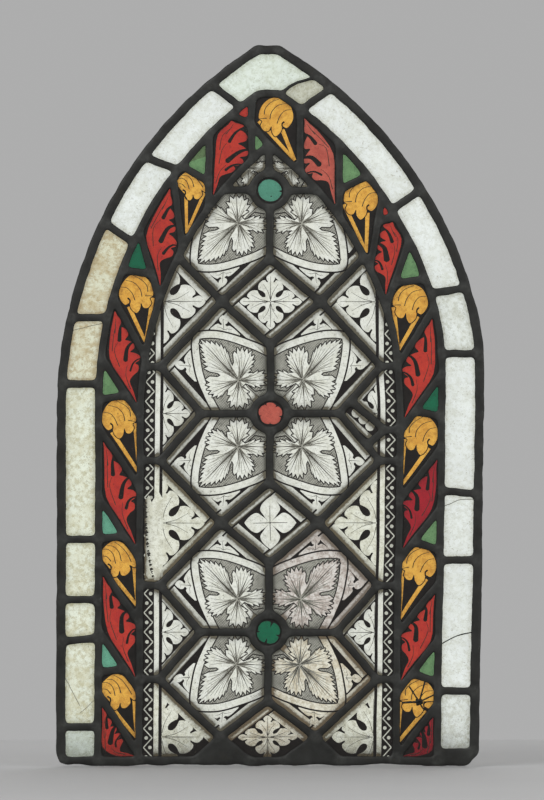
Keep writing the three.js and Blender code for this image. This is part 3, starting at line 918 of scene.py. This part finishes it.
class Shader:
    """A few shortcuts for one material's node tree."""

    def __init__(self, name):
        self.material = bpy.data.materials.new(name)
        self.material.use_nodes = True
        self.nodes = self.material.node_tree.nodes
        self.links = self.material.node_tree.links
        self.shader = self.nodes["Principled BSDF"]
        self.where = self.nodes.new("ShaderNodeTexCoord").outputs["Object"]

    def feed(self, socket, value):
        """Puts a number or a colour into a socket, or links another node's output to it."""
        if isinstance(value, tuple):
            socket.default_value = (*value, 1)
        elif isinstance(value, (int, float)):
            socket.default_value = value
        else:
            self.links.new(value, socket)

    def noise(self, size, detail=3.0, roughness=0.55, distortion=0.0):
        """Noise whose features are about size millimetres across."""
        node = self.nodes.new("ShaderNodeTexNoise")
        node.inputs["Scale"].default_value = 1 / (size * MM)
        node.inputs["Detail"].default_value = detail
        node.inputs["Roughness"].default_value = roughness
        node.inputs["Distortion"].default_value = distortion
        self.links.new(self.where, node.inputs["Vector"])
        return node.outputs["Fac"]

    def spots(self, size, threshold, softness=0.06):
        """Small round pits: 1 in a pit, 0 between them."""
        node = self.nodes.new("ShaderNodeTexVoronoi")
        node.inputs["Scale"].default_value = 1 / (size * MM)
        self.links.new(self.where, node.inputs["Vector"])
        return self.ramp(node.outputs["Distance"], [(threshold, 1), (threshold + softness, 0)])

    def hatching(self, pitch, turn, share):
        """Parallel strokes in the panel's plane: 1 on a stroke."""
        mapping = self.nodes.new("ShaderNodeMapping")
        mapping.inputs["Rotation"].default_value = (0, turn, 0)
        self.links.new(self.where, mapping.inputs["Vector"])
        node = self.nodes.new("ShaderNodeTexWave")
        node.wave_type = "BANDS"
        node.bands_direction = "X"
        node.inputs["Scale"].default_value = 0.314 / (pitch * MM)
        node.inputs["Distortion"].default_value = 1.2
        node.inputs["Detail"].default_value = 1.0
        node.inputs["Detail Scale"].default_value = 1.5
        self.links.new(mapping.outputs["Vector"], node.inputs["Vector"])
        return self.ramp(node.outputs["Fac"], [(1 - share - 0.1, 0), (1 - share + 0.1, 1)])

    def attribute(self, name):
        node = self.nodes.new("ShaderNodeAttribute")
        node.attribute_name = name
        return node.outputs["Fac"]

    def ramp(self, factor, stops):
        """Grey values at places along the factor."""
        node = self.nodes.new("ShaderNodeValToRGB")
        elements = node.color_ramp.elements
        for position, value in stops:
            elements.new(position).color = (value, value, value, 1)
        elements.remove(elements[0])
        elements.remove(elements[-1])
        self.links.new(factor, node.inputs["Fac"])
        return node.outputs["Color"]

    def blend(self, factor, a, b):
        node = self.nodes.new("ShaderNodeMix")
        node.data_type = "RGBA"
        self.feed(node.inputs[MIX_FACTOR], factor)
        self.feed(node.inputs[MIX_A], a)
        self.feed(node.inputs[MIX_B], b)
        return node.outputs[MIX_RESULT]

    def maths(self, operation, a, b, clamp=False):
        node = self.nodes.new("ShaderNodeMath")
        node.operation = operation
        node.use_clamp = clamp
        self.feed(node.inputs[0], a)
        self.feed(node.inputs[1], b)
        return node.outputs[0]

    def times(self, a, b):
        return self.maths("MULTIPLY", a, b)

    def bump(self, height, strength, distance):
        node = self.nodes.new("ShaderNodeBump")
        node.inputs["Strength"].default_value = strength
        node.inputs["Distance"].default_value = distance * MM
        self.links.new(height, node.inputs["Height"])
        self.links.new(node.outputs["Normal"], self.shader.inputs["Normal"])

    def set(self, **values):
        for name, value in values.items():
            self.feed(self.shader.inputs[name.replace("_", " ")], value)


def tinted(colour, other, share):
    return tuple(mix(c, d, share) for c, d in zip(colour, other))


def scaled(colour, factor):
    return tuple(c * factor for c in colour)


def glass_base(shader, roughness):
    shader.set(IOR=1.5, Roughness=roughness)
    shader.shader.inputs["Transmission Weight"].default_value = 1.0
    shader.shader.inputs["Specular IOR Level"].default_value = 0.15


def squared(colour):
    """The front face alone tints the light, and a refraction takes the root of its colour."""
    return tuple(c * c for c in colour)


def stained(name, colour, dirt_and_shade_colour, stain, stain_share, mottle, lead_shade_and_dirt):
    """Glass with seeds, pits, a patchy stain, and a darkening beside the leads that is partly soiling and
    partly painted shade.
    """
    s = Shader(name)
    base = s.blend(s.ramp(s.noise(38, 4), [(0.35, 0.0), (0.68, 1.0)]), squared(colour),
                   squared(scaled(colour, 0.90)))
    patchy = s.ramp(s.noise(20, 5, 0.7, 0.8), [(0.44, 0.0), (0.62, stain_share)])
    base = s.blend(patchy, base, squared(stain))
    clouded = s.ramp(s.noise(5.5, 4, 0.72), [(0.46, 0.0), (0.60, mottle)])
    base = s.blend(clouded, base, squared(tinted(stain, dirt_and_shade_colour, 0.30)))
    pits = s.times(s.ramp(s.noise(2.3, 2, 0.6), [(0.62, 0.0), (0.69, 1.0)]),
                   s.ramp(s.noise(19, 4, 0.6), [(0.44, 0.12), (0.60, 1.0)]))
    base = s.blend(s.times(pits, 0.85), base, squared(tinted(colour, dirt_and_shade_colour, 0.85)))
    # 1 beside a lead, fading inwards: painted shade cast by the lead, together with soiling.
    beside_lead = s.attribute("lead_shade_and_dirt")
    specks = s.maths("ADD", s.noise(2.6, 3, 0.72), s.times(beside_lead, 0.15))
    specks = s.ramp(specks, [(0.60, 0.0), (0.72, 0.85 * min(mottle + 0.25, 1))])
    base = s.blend(specks, base, squared(tinted(stain, dirt_and_shade_colour, 0.75)))
    # Painted shade and soiling: the glass darkens towards the leads.
    edge = s.times(beside_lead, s.ramp(s.noise(7, 4, 0.65), [(0.3, 0.78), (0.62, 1.1)]))
    edge = s.maths("MULTIPLY", edge, lead_shade_and_dirt, clamp=True)
    s.set(Base_Color=s.blend(edge, base, squared(dirt_and_shade_colour)))
    glass_base(s, 0.22)
    s.bump(s.noise(9, 3), 0.25, 0.35)
    return s.material


def back_face(name):
    """The unpainted back of the glass."""
    s = Shader(name)
    s.set(Base_Color=s.blend(s.ramp(s.noise(5, 3), [(0.5, 0.0), (0.8, 0.5)]), (1.0, 1.0, 1.0),
                             (0.93, 0.94, 0.92)))
    glass_base(s, 0.12)
    s.bump(s.noise(14, 2), 0.2, 0.4)
    return s.material


def vitreous_paint(name, colour, worn, share):
    """Dark fired-on paint with brushed tone and small losses."""
    s = Shader(name)
    tone = s.blend(s.ramp(s.noise(7, 4, 0.6), [(0.3, 0.0), (0.75, 1.0)]), colour, scaled(colour, 1.7))
    losses = s.times(s.spots(2.6, 0.13), s.ramp(s.noise(16, 3), [(0.5, 0.0), (0.66, share)]))
    s.set(Base_Color=s.blend(losses, tone, worn), Roughness=0.55)
    s.shader.inputs["Specular IOR Level"].default_value = 0.25
    s.bump(s.noise(1.2, 3), 0.3, 0.05)
    return s.material


def hatched(name, light, dark, lead_shade_and_dirt):
    """Mid-grey ground: fine cross-hatching scratched and brushed over the glass."""
    s = Shader(name)
    one = s.hatching(1.9, math.radians(38), 0.46)
    two = s.hatching(2.2, math.radians(-47), 0.42)
    both = s.maths("MAXIMUM", one, two)
    brushed = s.ramp(s.noise(5, 3), [(0.3, 0.62), (0.7, 1.0)])
    base = s.blend(s.times(both, brushed), squared(light), squared(dark))
    speckle = s.ramp(s.noise(1.3, 2, 0.7), [(0.45, 0.0), (0.65, 0.5)])
    base = s.blend(speckle, base, squared(dark))
    # Painted shade and soiling: the hatched ground darkens towards the leads.
    edge = s.maths("MULTIPLY", s.attribute("lead_shade_and_dirt"), lead_shade_and_dirt, clamp=True)
    s.set(Base_Color=s.blend(edge, base, squared(dark)))
    glass_base(s, 0.35)
    s.bump(s.noise(1.5, 2), 0.2, 0.08)
    return s.material


# Names, colours, colours of soiling and of the painted shade by the leads, stains, shares of stain and
# mottling, strengths of the soiling and painted shade by the leads.
GLASSES = {
    "white": ("white_glass", (0.86, 0.91, 0.88), (0.40, 0.39, 0.30), (0.74, 0.78, 0.70), 0.5, 0.55, 0.75),
    "white_old": ("white_glass_stained", (0.83, 0.88, 0.74), (0.33, 0.32, 0.20),
                  (0.66, 0.64, 0.44), 0.7, 0.85, 1.0),
    "white_yellow": ("white_glass_yellowed", (0.78, 0.80, 0.62), (0.34, 0.27, 0.15),
                     (0.56, 0.48, 0.28), 0.85, 0.9, 1.1),
    "white_dull": ("white_glass_dull", (0.62, 0.64, 0.54), (0.28, 0.27, 0.18),
                   (0.50, 0.50, 0.38), 0.7, 0.8, 1.0),
    "white_green": ("white_glass_greenish", (0.80, 0.88, 0.80), (0.38, 0.40, 0.30),
                    (0.66, 0.73, 0.60), 0.55, 0.65, 0.8),
    "white_grey": ("white_glass_speckled", (0.82, 0.87, 0.83), (0.34, 0.34, 0.27),
                   (0.66, 0.69, 0.60), 0.6, 0.75, 0.9),
    "grisaille": ("grisaille_glass", (0.83, 0.85, 0.78), (0.11, 0.10, 0.07),
                  (0.70, 0.71, 0.60), 0.55, 0.45, 1.5),
    "grisaille_old": ("grisaille_glass_stained", (0.81, 0.80, 0.68), (0.13, 0.10, 0.06),
                      (0.63, 0.56, 0.40), 0.75, 0.7, 1.6),
    "grisaille_warm": ("grisaille_glass_warm", (0.83, 0.85, 0.74), (0.12, 0.10, 0.06),
                       (0.68, 0.68, 0.53), 0.6, 0.7, 1.5),
    "grisaille_pink": ("grisaille_glass_stippled", (0.74, 0.71, 0.66), (0.16, 0.13, 0.10),
                       (0.55, 0.49, 0.44), 0.85, 1.0, 1.4),
    "gold": ("gold_glass", (0.82, 0.46, 0.075), (0.24, 0.11, 0.02), (0.64, 0.30, 0.04), 0.7, 0.75, 0.7),
    "red": ("red_glass", (0.52, 0.040, 0.022), (0.10, 0.01, 0.01), (0.37, 0.018, 0.020), 0.6, 0.35, 0.7),
    "salmon": ("salmon_glass", (0.52, 0.115, 0.08), (0.16, 0.04, 0.03), (0.42, 0.07, 0.05), 0.6, 0.5, 0.6),
    "crimson": ("crimson_glass", (0.36, 0.010, 0.020), (0.06, 0.005, 0.008),
                (0.26, 0.008, 0.015), 0.6, 0.3, 0.7),
    "green": ("green_glass", (0.002, 0.135, 0.062), (0.003, 0.04, 0.022),
              (0.002, 0.10, 0.048), 0.5, 0.3, 0.6),
    "aqua": ("aqua_glass", (0.14, 0.40, 0.27), (0.03, 0.10, 0.07), (0.11, 0.33, 0.22), 0.5, 0.3, 0.6),
    "olive": ("olive_glass", (0.12, 0.20, 0.085), (0.04, 0.06, 0.03), (0.09, 0.15, 0.06), 0.5, 0.4, 0.6),
    "sage": ("sage_glass", (0.16, 0.31, 0.135), (0.05, 0.10, 0.05), (0.10, 0.22, 0.09), 0.5, 0.4, 0.6),
    "teal": ("teal_glass", (0.085, 0.29, 0.20), (0.02, 0.07, 0.05), (0.07, 0.24, 0.16), 0.5, 0.3, 0.5),
}

MATERIALS = {key: stained(*looks) for key, looks in GLASSES.items()}
MATERIALS |= {
    "dark": vitreous_paint("vitreous_paint", (0.012, 0.010, 0.009), (0.16, 0.15, 0.12), 0.6),
    "line": vitreous_paint("trace_line_paint", (0.030, 0.028, 0.022), (0.25, 0.24, 0.2), 0.3),
    "vein": vitreous_paint("thin_vein_paint", (0.10, 0.095, 0.075), (0.3, 0.29, 0.25), 0.5),
    "pale": vitreous_paint("scratched_line", (0.50, 0.51, 0.44), (0.25, 0.25, 0.22), 0.6),
    "hatch": hatched("hatched_ground", (0.52, 0.52, 0.45), (0.06, 0.06, 0.045), 1.0),
    "shade": hatched("brushed_shade", (0.50, 0.50, 0.43), (0.16, 0.155, 0.125), 0.9),
    "back": back_face("glass_back"),
}


def lead_material(name, dark, light, brown):
    """Dull patchy lead, brighter where there is solder."""
    s = Shader(name)
    cloudy = s.ramp(s.noise(26, 5, 0.6, 0.4), [(0.35, 0.0), (0.7, 1.0)])
    base = s.blend(cloudy, dark, light)
    base = s.blend(s.ramp(s.noise(9, 4, 0.65), [(0.55, 0.0), (0.8, 0.6)]), base, brown)
    bright = s.times(s.attribute("solder"), s.ramp(s.noise(5, 3), [(0.35, 0.2), (0.7, 0.9)]))
    s.set(Base_Color=s.blend(bright, base, scaled(light, 1.6)), Metallic=0.35)
    s.set(Roughness=s.ramp(s.noise(7, 4), [(0.3, 0.42), (0.75, 0.68)]))
    s.bump(s.blend(0.5, s.noise(2.2, 4, 0.6), s.noise(11, 3)), 0.5, 0.35)
    return s.material


LEAD = lead_material("lead", (0.016, 0.016, 0.014), (0.036, 0.037, 0.034), (0.032, 0.027, 0.018))


# ---------- Glass ----------

def to_space(p, y):
    p = hand_made(p)
    return (p.real * MM, y * MM, p.imag * MM)


def triangulated(polygons, extra, need_origins):
    """Triangles over polygons and further points, cut along the edges of every polygon."""
    coords, faces = [], []
    for polygon in polygons:
        faces.append(list(range(len(coords), len(coords) + len(polygon))))
        coords += polygon
    coords = [Vector((p.real, p.imag)) for p in coords + extra]
    return delaunay_2d_cdt(coords, [], faces, 1, 1e-3, need_origins)


def renumbered(faces):
    """The vertices in use, and the faces told by the places of their corners among these."""
    used = sorted({i for face in faces for i in face})
    place = {old: new for new, old in enumerate(used)}
    return used, [[place[i] for i in face] for face in faces]


def add_piece(name, mesh, slot):
    mesh.validate()
    mesh.update()
    obj = bpy.data.objects.new(name, mesh)
    bpy.context.scene.collection.objects.link(obj)
    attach(obj, BODY)
    return obj


GRID_STEP = 8.0


def extra_points(pane):
    """Points near the leads and across the pane, for soft shading and a slightly wavy surface."""
    points = []
    for depth in (1.3, 2.8, 4.8, 7.5):
        points += [p for p in resampled(inset(pane.sight, depth), 5)
                   if contains(pane.sight, p) and distance_to(pane.sight, p) > 0.9 * depth]
    low, high = pane.box()
    row = 0
    z = low.imag + GRID_STEP / 2
    while z < high.imag:
        x = low.real + (GRID_STEP / 2 if row % 2 else GRID_STEP)
        while x < high.real:
            p = complex(x, z)
            if contains(pane.sight, p) and distance_to(pane.sight, p) > 9:
                points.append(p)
            x += GRID_STEP
        z += GRID_STEP
        row += 1
    return points


def topmost(polygons, boxes, p):
    """The last-painted polygon that covers a point."""
    for k in range(len(polygons) - 1, -1, -1):
        low, high = boxes[k]
        if low.real <= p.real <= high.real and low.imag <= p.imag <= high.imag:
            if contains(polygons[k], p):
                return k
    return 0


def lead_shade_and_dirt_at(pane, slot, points):
    """How dark the glass grows at each point beside the leads: partly soiling, partly painted shade cast
    by the lead, and most of all at the left in the right border, where it is a stain.
    """
    start, reach = (1.2, 3.3) if slot == "grisaille_glass" else (0.4, 2.3)
    values = [math.exp(-max(distance_to(pane.sight, p) - start, 0) / reach) for p in points]
    if pane.node.startswith("white_border_right"):
        left = pane.box()[0].real
        values = [max(v, 0.62 * math.exp(-(p.real - left) / 6)) for v, p in zip(values, points)]
    return values


def build_pane(pane, name, clear, slot, seed):
    """A closed slab of glass whose front is divided into painted and clear areas."""
    outline = grown(pane.sight, PANE_LAP)
    polygons = [outline] + [polygon for _, polygon in pane.layers]
    looks = [clear] + [clear if tone == "clear" else tone for tone, _ in pane.layers]
    boxes = [box_of(polygon) for polygon in polygons]
    vertices, _, triangles, *_ = triangulated(polygons, extra_points(pane), False)
    front, layers = [], []
    for t in triangles:
        middle = complex(*sum((vertices[i] for i in t), Vector((0, 0)))) / 3
        if contains(outline, middle):
            front.append(list(t))
            layers.append(topmost(polygons, boxes, middle))
    used, front = renumbered(front)
    flat = [complex(vertices[i].x, vertices[i].y) for i in used]
    loop = max(border_loops(front), key=len)
    back = {i: len(flat) + k for k, i in enumerate(loop)}
    points = [to_space(p, -HALF_GLASS + 0.10 * uneven(p, 17, seed)) for p in flat]
    points += [to_space(flat[i], HALF_GLASS) for i in loop]
    sides = [[back[a], back[b], b, a] for a, b in edges_of(loop)]
    mesh = bpy.data.meshes.new(name)
    mesh.from_pydata(points, [], front + sides + [[back[i] for i in reversed(loop)]])
    keys = sorted(set(looks)) + ["back"]
    for key in keys:
        mesh.materials.append(MATERIALS[key])
    for polygon, layer in zip(mesh.polygons, layers):
        polygon.material_index = keys.index(looks[layer])
    for polygon in mesh.polygons[len(front):]:
        polygon.material_index = keys.index("back")
    # Painted shade cast by the leads, mixed with soiling, kept on the points for the glass materials.
    values = lead_shade_and_dirt_at(pane, slot, flat) + [0.0] * len(loop)
    mesh.attributes.new("lead_shade_and_dirt", "FLOAT", "POINT").data.foreach_set("value", values)
    return add_piece(name, mesh, slot)


# Kinds of glass that differ from the usual kind of their colour.
GREENS = {"gold_leaf_left_2": "green", "gold_leaf_left_4": "aqua", "gold_leaf_left_5": "aqua",
          "gold_leaf_right_3": "green"}
REDS = {"red_leaf_right_1": "salmon", "red_leaf_right_4": "crimson", "red_leaf_right_6": "crimson"}
BOSSES = {"boss_bottom": ("green", "green_glass"), "boss_middle": ("salmon", "red_glass"),
          "boss_top": ("teal", "green_glass")}
WHITES = {"white_border_left_lower": ["white_green", "white_old", "white_old"],
          "white_border_left_middle": ["white_old", "white_old", "white_yellow"],
          "white_border_left_upper": ["white_yellow"],
          "white_border_apex": ["white_dull", "white_green"],
          "white_border_right_lower": ["white_grey"],
          "white_border_right_upper": ["white_grey"]}
OLD_GRISAILLE = {"vine_leaf_bottom_upper_right": "grisaille_pink", "diamond_lower": "grisaille_old",
                 "side_pane_left_3": "grisaille_warm", "side_pane_right_3": "grisaille_warm",
                 "side_pane_left_5": "grisaille_warm", "side_pane_right_5": "grisaille_warm",
                 "vine_leaf_bottom_lower_right": "grisaille_old"}


def clear_glass(name, index):
    """The material and the slot of the unpainted glass of a pane."""
    if name.startswith("gold") and index == 0:
        return "gold", "gold_glass"
    if name.startswith("gold"):
        return GREENS.get(name, "sage"), "green_glass"
    if name.startswith("red"):
        return REDS.get(name, "red"), "red_glass"
    if name.startswith("boss"):
        return BOSSES[name]
    if name.startswith("white"):
        run = WHITES.get(name, [])
        return run[index] if index < len(run) else "white", "white_glass"
    return OLD_GRISAILLE.get(name, "grisaille"), "grisaille_glass"


def build_glass():
    seed = 10
    for name in sorted(PANES):
        for index, pane in enumerate(PANES[name]):
            seed += 1
            clear, slot = clear_glass(name, index)
            suffix = "" if len(PANES[name]) == 1 else f"_{index + 1}"
            obj = build_pane(pane, f"glass_{name}{suffix}", clear, slot, seed)
            if index == 0:
                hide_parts(name)


build_glass()


# ---------- Lead ----------

# Arms of the repair over the lowest gold leaf on the right: degrees, length, width.
STAR_ARMS = [(122, 21, 1.9), (74, 24, 1.9), (27, 20, 1.7), (3, 20, 1.3), (-58, 11, 1.7), (-178, 19, 2.6)]
MEND_SIDES = 10
MEND_HEIGHT = 3.0


def mends():
    """Strips of lead over breaks in the glass: paths with their widths."""
    leaf = PANES["gold_leaf_right_5"][0]
    centre = complex(leaf.place(0.57, 0).real, leaf.box()[1].imag - 27)
    found = []
    for degrees, length, width in STAR_ARMS:
        arm = direction(math.radians(degrees)) * length
        found.append(([centre, centre + arm / 2 + 0.8 * wander(arm, 9, 44), centre + arm], width))
    found.append(([centre - 3.6 - 0.6j, centre, centre + 3.8 + 0.8j], 6.4))
    white = PANES["white_border_right_lower"][1]
    found.append(([white.place(0, 0.34) - 2, white.place(0.5, 0.415), white.place(1, 0.45) + 2], 1.3))
    return found


def add_mends(points, faces):
    """Flat-oval strips that run into the cames and show on both faces."""
    for path, width in mends():
        line = curve(path, 4)
        first = len(points)
        for i, p in enumerate(line):
            across = towards(line[max(i - 1, 0)], line[min(i + 1, len(line) - 1)]) * 1j
            half = width / 2 * (1 + 0.3 * uneven(p, 3, 41))
            for k in range(MEND_SIDES):
                round_it = direction(2 * math.pi * k / MEND_SIDES)
                points.append(to_space(p + across * half * round_it.real, MEND_HEIGHT * round_it.imag))
        for i in range(len(line) - 1):
            for k in range(MEND_SIDES):
                a, b = (first + i * MEND_SIDES + j % MEND_SIDES for j in (k, k + 1))
                faces.append([a, b, b + MEND_SIDES, a + MEND_SIDES])
        faces.append([first + k for k in range(MEND_SIDES)][::-1])
        faces.append([len(points) - MEND_SIDES + k for k in range(MEND_SIDES)])


def point_tree(points):
    tree = kdtree.KDTree(len(points))
    for i, p in enumerate(points):
        tree.insert((p.real, p.imag, 0), i)
    tree.balance()
    return tree


def distance_in(tree, p):
    return tree.find((p.real, p.imag, 0))[2]


def joint_points():
    """Where cames meet: the lead's centre beside each sharp corner of an opening."""
    found = []
    for opening in OPENINGS:
        for i, corner in enumerate(grown(opening, HALF_CAME)):
            before = towards(opening[i - 1], opening[i])
            after = towards(opening[i], opening[(i + 1) % len(opening)])
            if abs(cross(before, after)) > 0.35 and abs(corner - opening[i]) < 14:
                found.append(corner)
    return found


def lead_rings():
    """The edges of the lead: a ring round every opening, and the worn outer edge last."""
    rings = []
    for opening in OPENINGS:
        ring = smoothed(resampled(opening, 2.4), 3)
        rings.append([p + 0.55 * wander(p, 10, 5) + 0.25 * wander(p, 4, 6) for p in ring])
    worn = []
    for p in smoothed(resampled(OUTLINE, 3.0), 2):
        inwards = towards(p, 380j)
        depth = 1.4 + 1.3 * uneven(p, 19, 9) + 0.4 * uneven(p, 6, 10)
        if p.imag < 6:
            inwards = 1j
            depth += 0.6 + 2.4 * uneven(p, 24, 11)
        worn.append(p + inwards * max(depth, 1.2))
    return rings + [counter_clockwise(worn)]


def thinned(points, gap):
    """The points that lie at least a gap away from those before them."""
    taken = {}
    kept = []
    for p in points:
        column, row = round(p.real / gap), round(p.imag / gap)
        cells = [taken.get((column + i, row + k), []) for i in (-1, 0, 1) for k in (-1, 0, 1)]
        if all(abs(p - q) >= gap for cell in cells for q in cell):
            taken.setdefault((column, row), []).append(p)
            kept.append(p)
    return kept


def points_on_lead(rings, borders):
    """Rows of points that follow the edges of the lead, at growing distances from them."""
    found = []
    for level in (0.45, 1.3, 2.6, 4.1, 5.7):
        row = []
        for ring in rings:
            outwards = -1 if ring is rings[-1] else 1
            for i, p in enumerate(ring):
                tangent = ring[(i + 1) % len(ring)] - ring[i - 1]
                q = p - outwards * tangent / abs(tangent) * 1j * level
                if distance_in(borders, q) > 0.9 * level:
                    row.append(q)
        found += thinned(row, 1.5)
    return found


def lead_height(p, depth, lump):
    """Height above the middle plane at a depth from the lead's edge; lump is 1 on solder."""
    share = min(depth / HALF_CAME, 1)
    round_profile = math.sqrt(max(1 - (1 - share) ** 2, 0)) ** 0.9
    flat_profile = min(1.0, 1.6 * math.sqrt(share))
    profile = mix(round_profile, flat_profile, 0.7 * lump)
    rise = (CROWN - LIP) * profile + 0.22 * uneven(p, 6, 13) * share + 0.12 * lump * share
    return min(LIP + rise, HIGHEST_LEAD)


def build_lead():
    """The cames as one network: rounded crowns, thin lips and lumps of solder at the joints."""
    rings = lead_rings()
    borders = point_tree([p for ring in rings for p in resampled(ring, 0.8)])
    joints = point_tree(joint_points())
    vertices, _, triangles, origins, _, sources = triangulated(
        rings, points_on_lead(rings, borders), True)
    outer = len(rings) - 1
    front = [list(t) for t, source in zip(triangles, sources) if list(source) == [outer]]
    flat = [complex(v.x, v.y) for v in vertices]
    count = len(flat)
    rim_count = sum(len(ring) for ring in rings)
    heights, solder = [], []
    for p, origin in zip(flat, origins):
        on_rim = any(o < rim_count for o in origin)
        lump = smoothstep(8.0, 4.0, distance_in(joints, p) + 1.5 * uneven(p, 6, 12))
        heights.append(lead_height(p, 0.0 if on_rim else distance_in(borders, p), lump))
        solder.append(lump)
    points = [to_space(p, -h) for p, h in zip(flat, heights)]
    points += [to_space(p, h) for p, h in zip(flat, heights)]
    faces = front + [[i + count for i in reversed(t)] for t in front]
    rim = open_edges(front)
    groove = {}
    for edge in rim:
        for i in edge:
            if i not in groove:
                groove[i] = len(points)
                points.append(to_space(flat[i], -HALF_GLASS - 0.1))
                points.append(to_space(flat[i], HALF_GLASS + 0.1))
    for a, b in rim:
        under_a, under_b = groove[a], groove[b]
        faces.append([b, a, under_a, under_b])
        faces.append([under_b, under_a, under_a + 1, under_b + 1])
        faces.append([under_b + 1, under_a + 1, a + count, b + count])
    add_mends(points, faces)
    solder = solder * 2 + [0.0] * (len(points) - 2 * count)
    used, faces = renumbered(faces)
    mesh = bpy.data.meshes.new("lead_network")
    mesh.from_pydata([points[i] for i in used], [], faces)
    values = [solder[i] for i in used]
    mesh.attributes.new("solder", "FLOAT", "POINT").data.foreach_set("value", values)
    mesh.materials.append(LEAD)
    obj = add_piece("lead_network", mesh, "lead")
    for polygon in mesh.polygons:
        polygon.use_smooth = True
    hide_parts("lead_cames")


build_lead()


# ---------- Studio ----------

# Names of the lamps, where they stand, their size in metres and power in watts.
LAMPS = [("key", (-1.4, -2.2, 2.2), 1.6, 30), ("fill", (1.8, -1.8, 1.0), 1.8, 12),
         ("rear", (0.6, 2.4, 2.2), 1.8, 18)]
LIT_MIDDLE = Vector((0, 0, 0.4))


def light_behind():
    """Grey to the camera, white through the glass and a soft grey light for all else."""
    world = bpy.data.worlds.new("studio")
    bpy.context.scene.world = world
    world.use_nodes = True
    nodes, links = world.node_tree.nodes, world.node_tree.links
    paths = nodes.new("ShaderNodeLightPath")
    through = nodes.new("ShaderNodeMix")
    through.data_type = "RGBA"
    through.inputs[MIX_A].default_value = (0.5, 0.5, 0.5, 1)
    through.inputs[MIX_B].default_value = (1.0, 1.0, 1.0, 1)
    links.new(paths.outputs["Is Transmission Ray"], through.inputs[MIX_FACTOR])
    seen = nodes.new("ShaderNodeMix")
    seen.data_type = "RGBA"
    seen.inputs[MIX_B].default_value = (0.42, 0.42, 0.42, 1)
    links.new(through.outputs[MIX_RESULT], seen.inputs[MIX_A])
    links.new(paths.outputs["Is Camera Ray"], seen.inputs[MIX_FACTOR])
    links.new(seen.outputs[MIX_RESULT], nodes["Background"].inputs["Color"])


def add_floor():
    mesh = bpy.data.meshes.new("floor")
    mesh.from_pydata([(-3, -2.2, 0), (3, -2.2, 0), (3, 0.8, 0), (-3, 0.8, 0)], [], [(0, 1, 2, 3)])
    floor = bpy.data.objects.new("floor", mesh)
    bpy.context.scene.collection.objects.link(floor)
    s = Shader("floor")
    s.set(Base_Color=s.blend(s.noise(220, 3), (0.50, 0.50, 0.50), (0.53, 0.53, 0.53)), Roughness=0.9)
    s.shader.inputs["Specular IOR Level"].default_value = 0.1
    floor.data.materials.append(s.material)


def add_lamps():
    for name, where, size, power in LAMPS:
        data = bpy.data.lights.new(name, "AREA")
        data.size = size
        data.energy = power
        light = bpy.data.objects.new(name, data)
        light.location = where
        light.rotation_euler = (LIT_MIDDLE - Vector(where)).to_track_quat("-Z", "Y").to_euler()
        bpy.context.scene.collection.objects.link(light)


def add_camera():
    scene = bpy.context.scene
    data = bpy.data.cameras.new("camera")
    data.sensor_width = 36
    data.lens = 406.7
    camera = bpy.data.objects.new("camera", data)
    camera.location = (0.00166, -10.0, 0.406)
    camera.rotation_euler = (math.radians(90), 0, 0)
    scene.collection.objects.link(camera)
    scene.camera = camera
    scene.view_settings.view_transform = "Standard"


light_behind()
add_floor()
add_lamps()
add_camera()
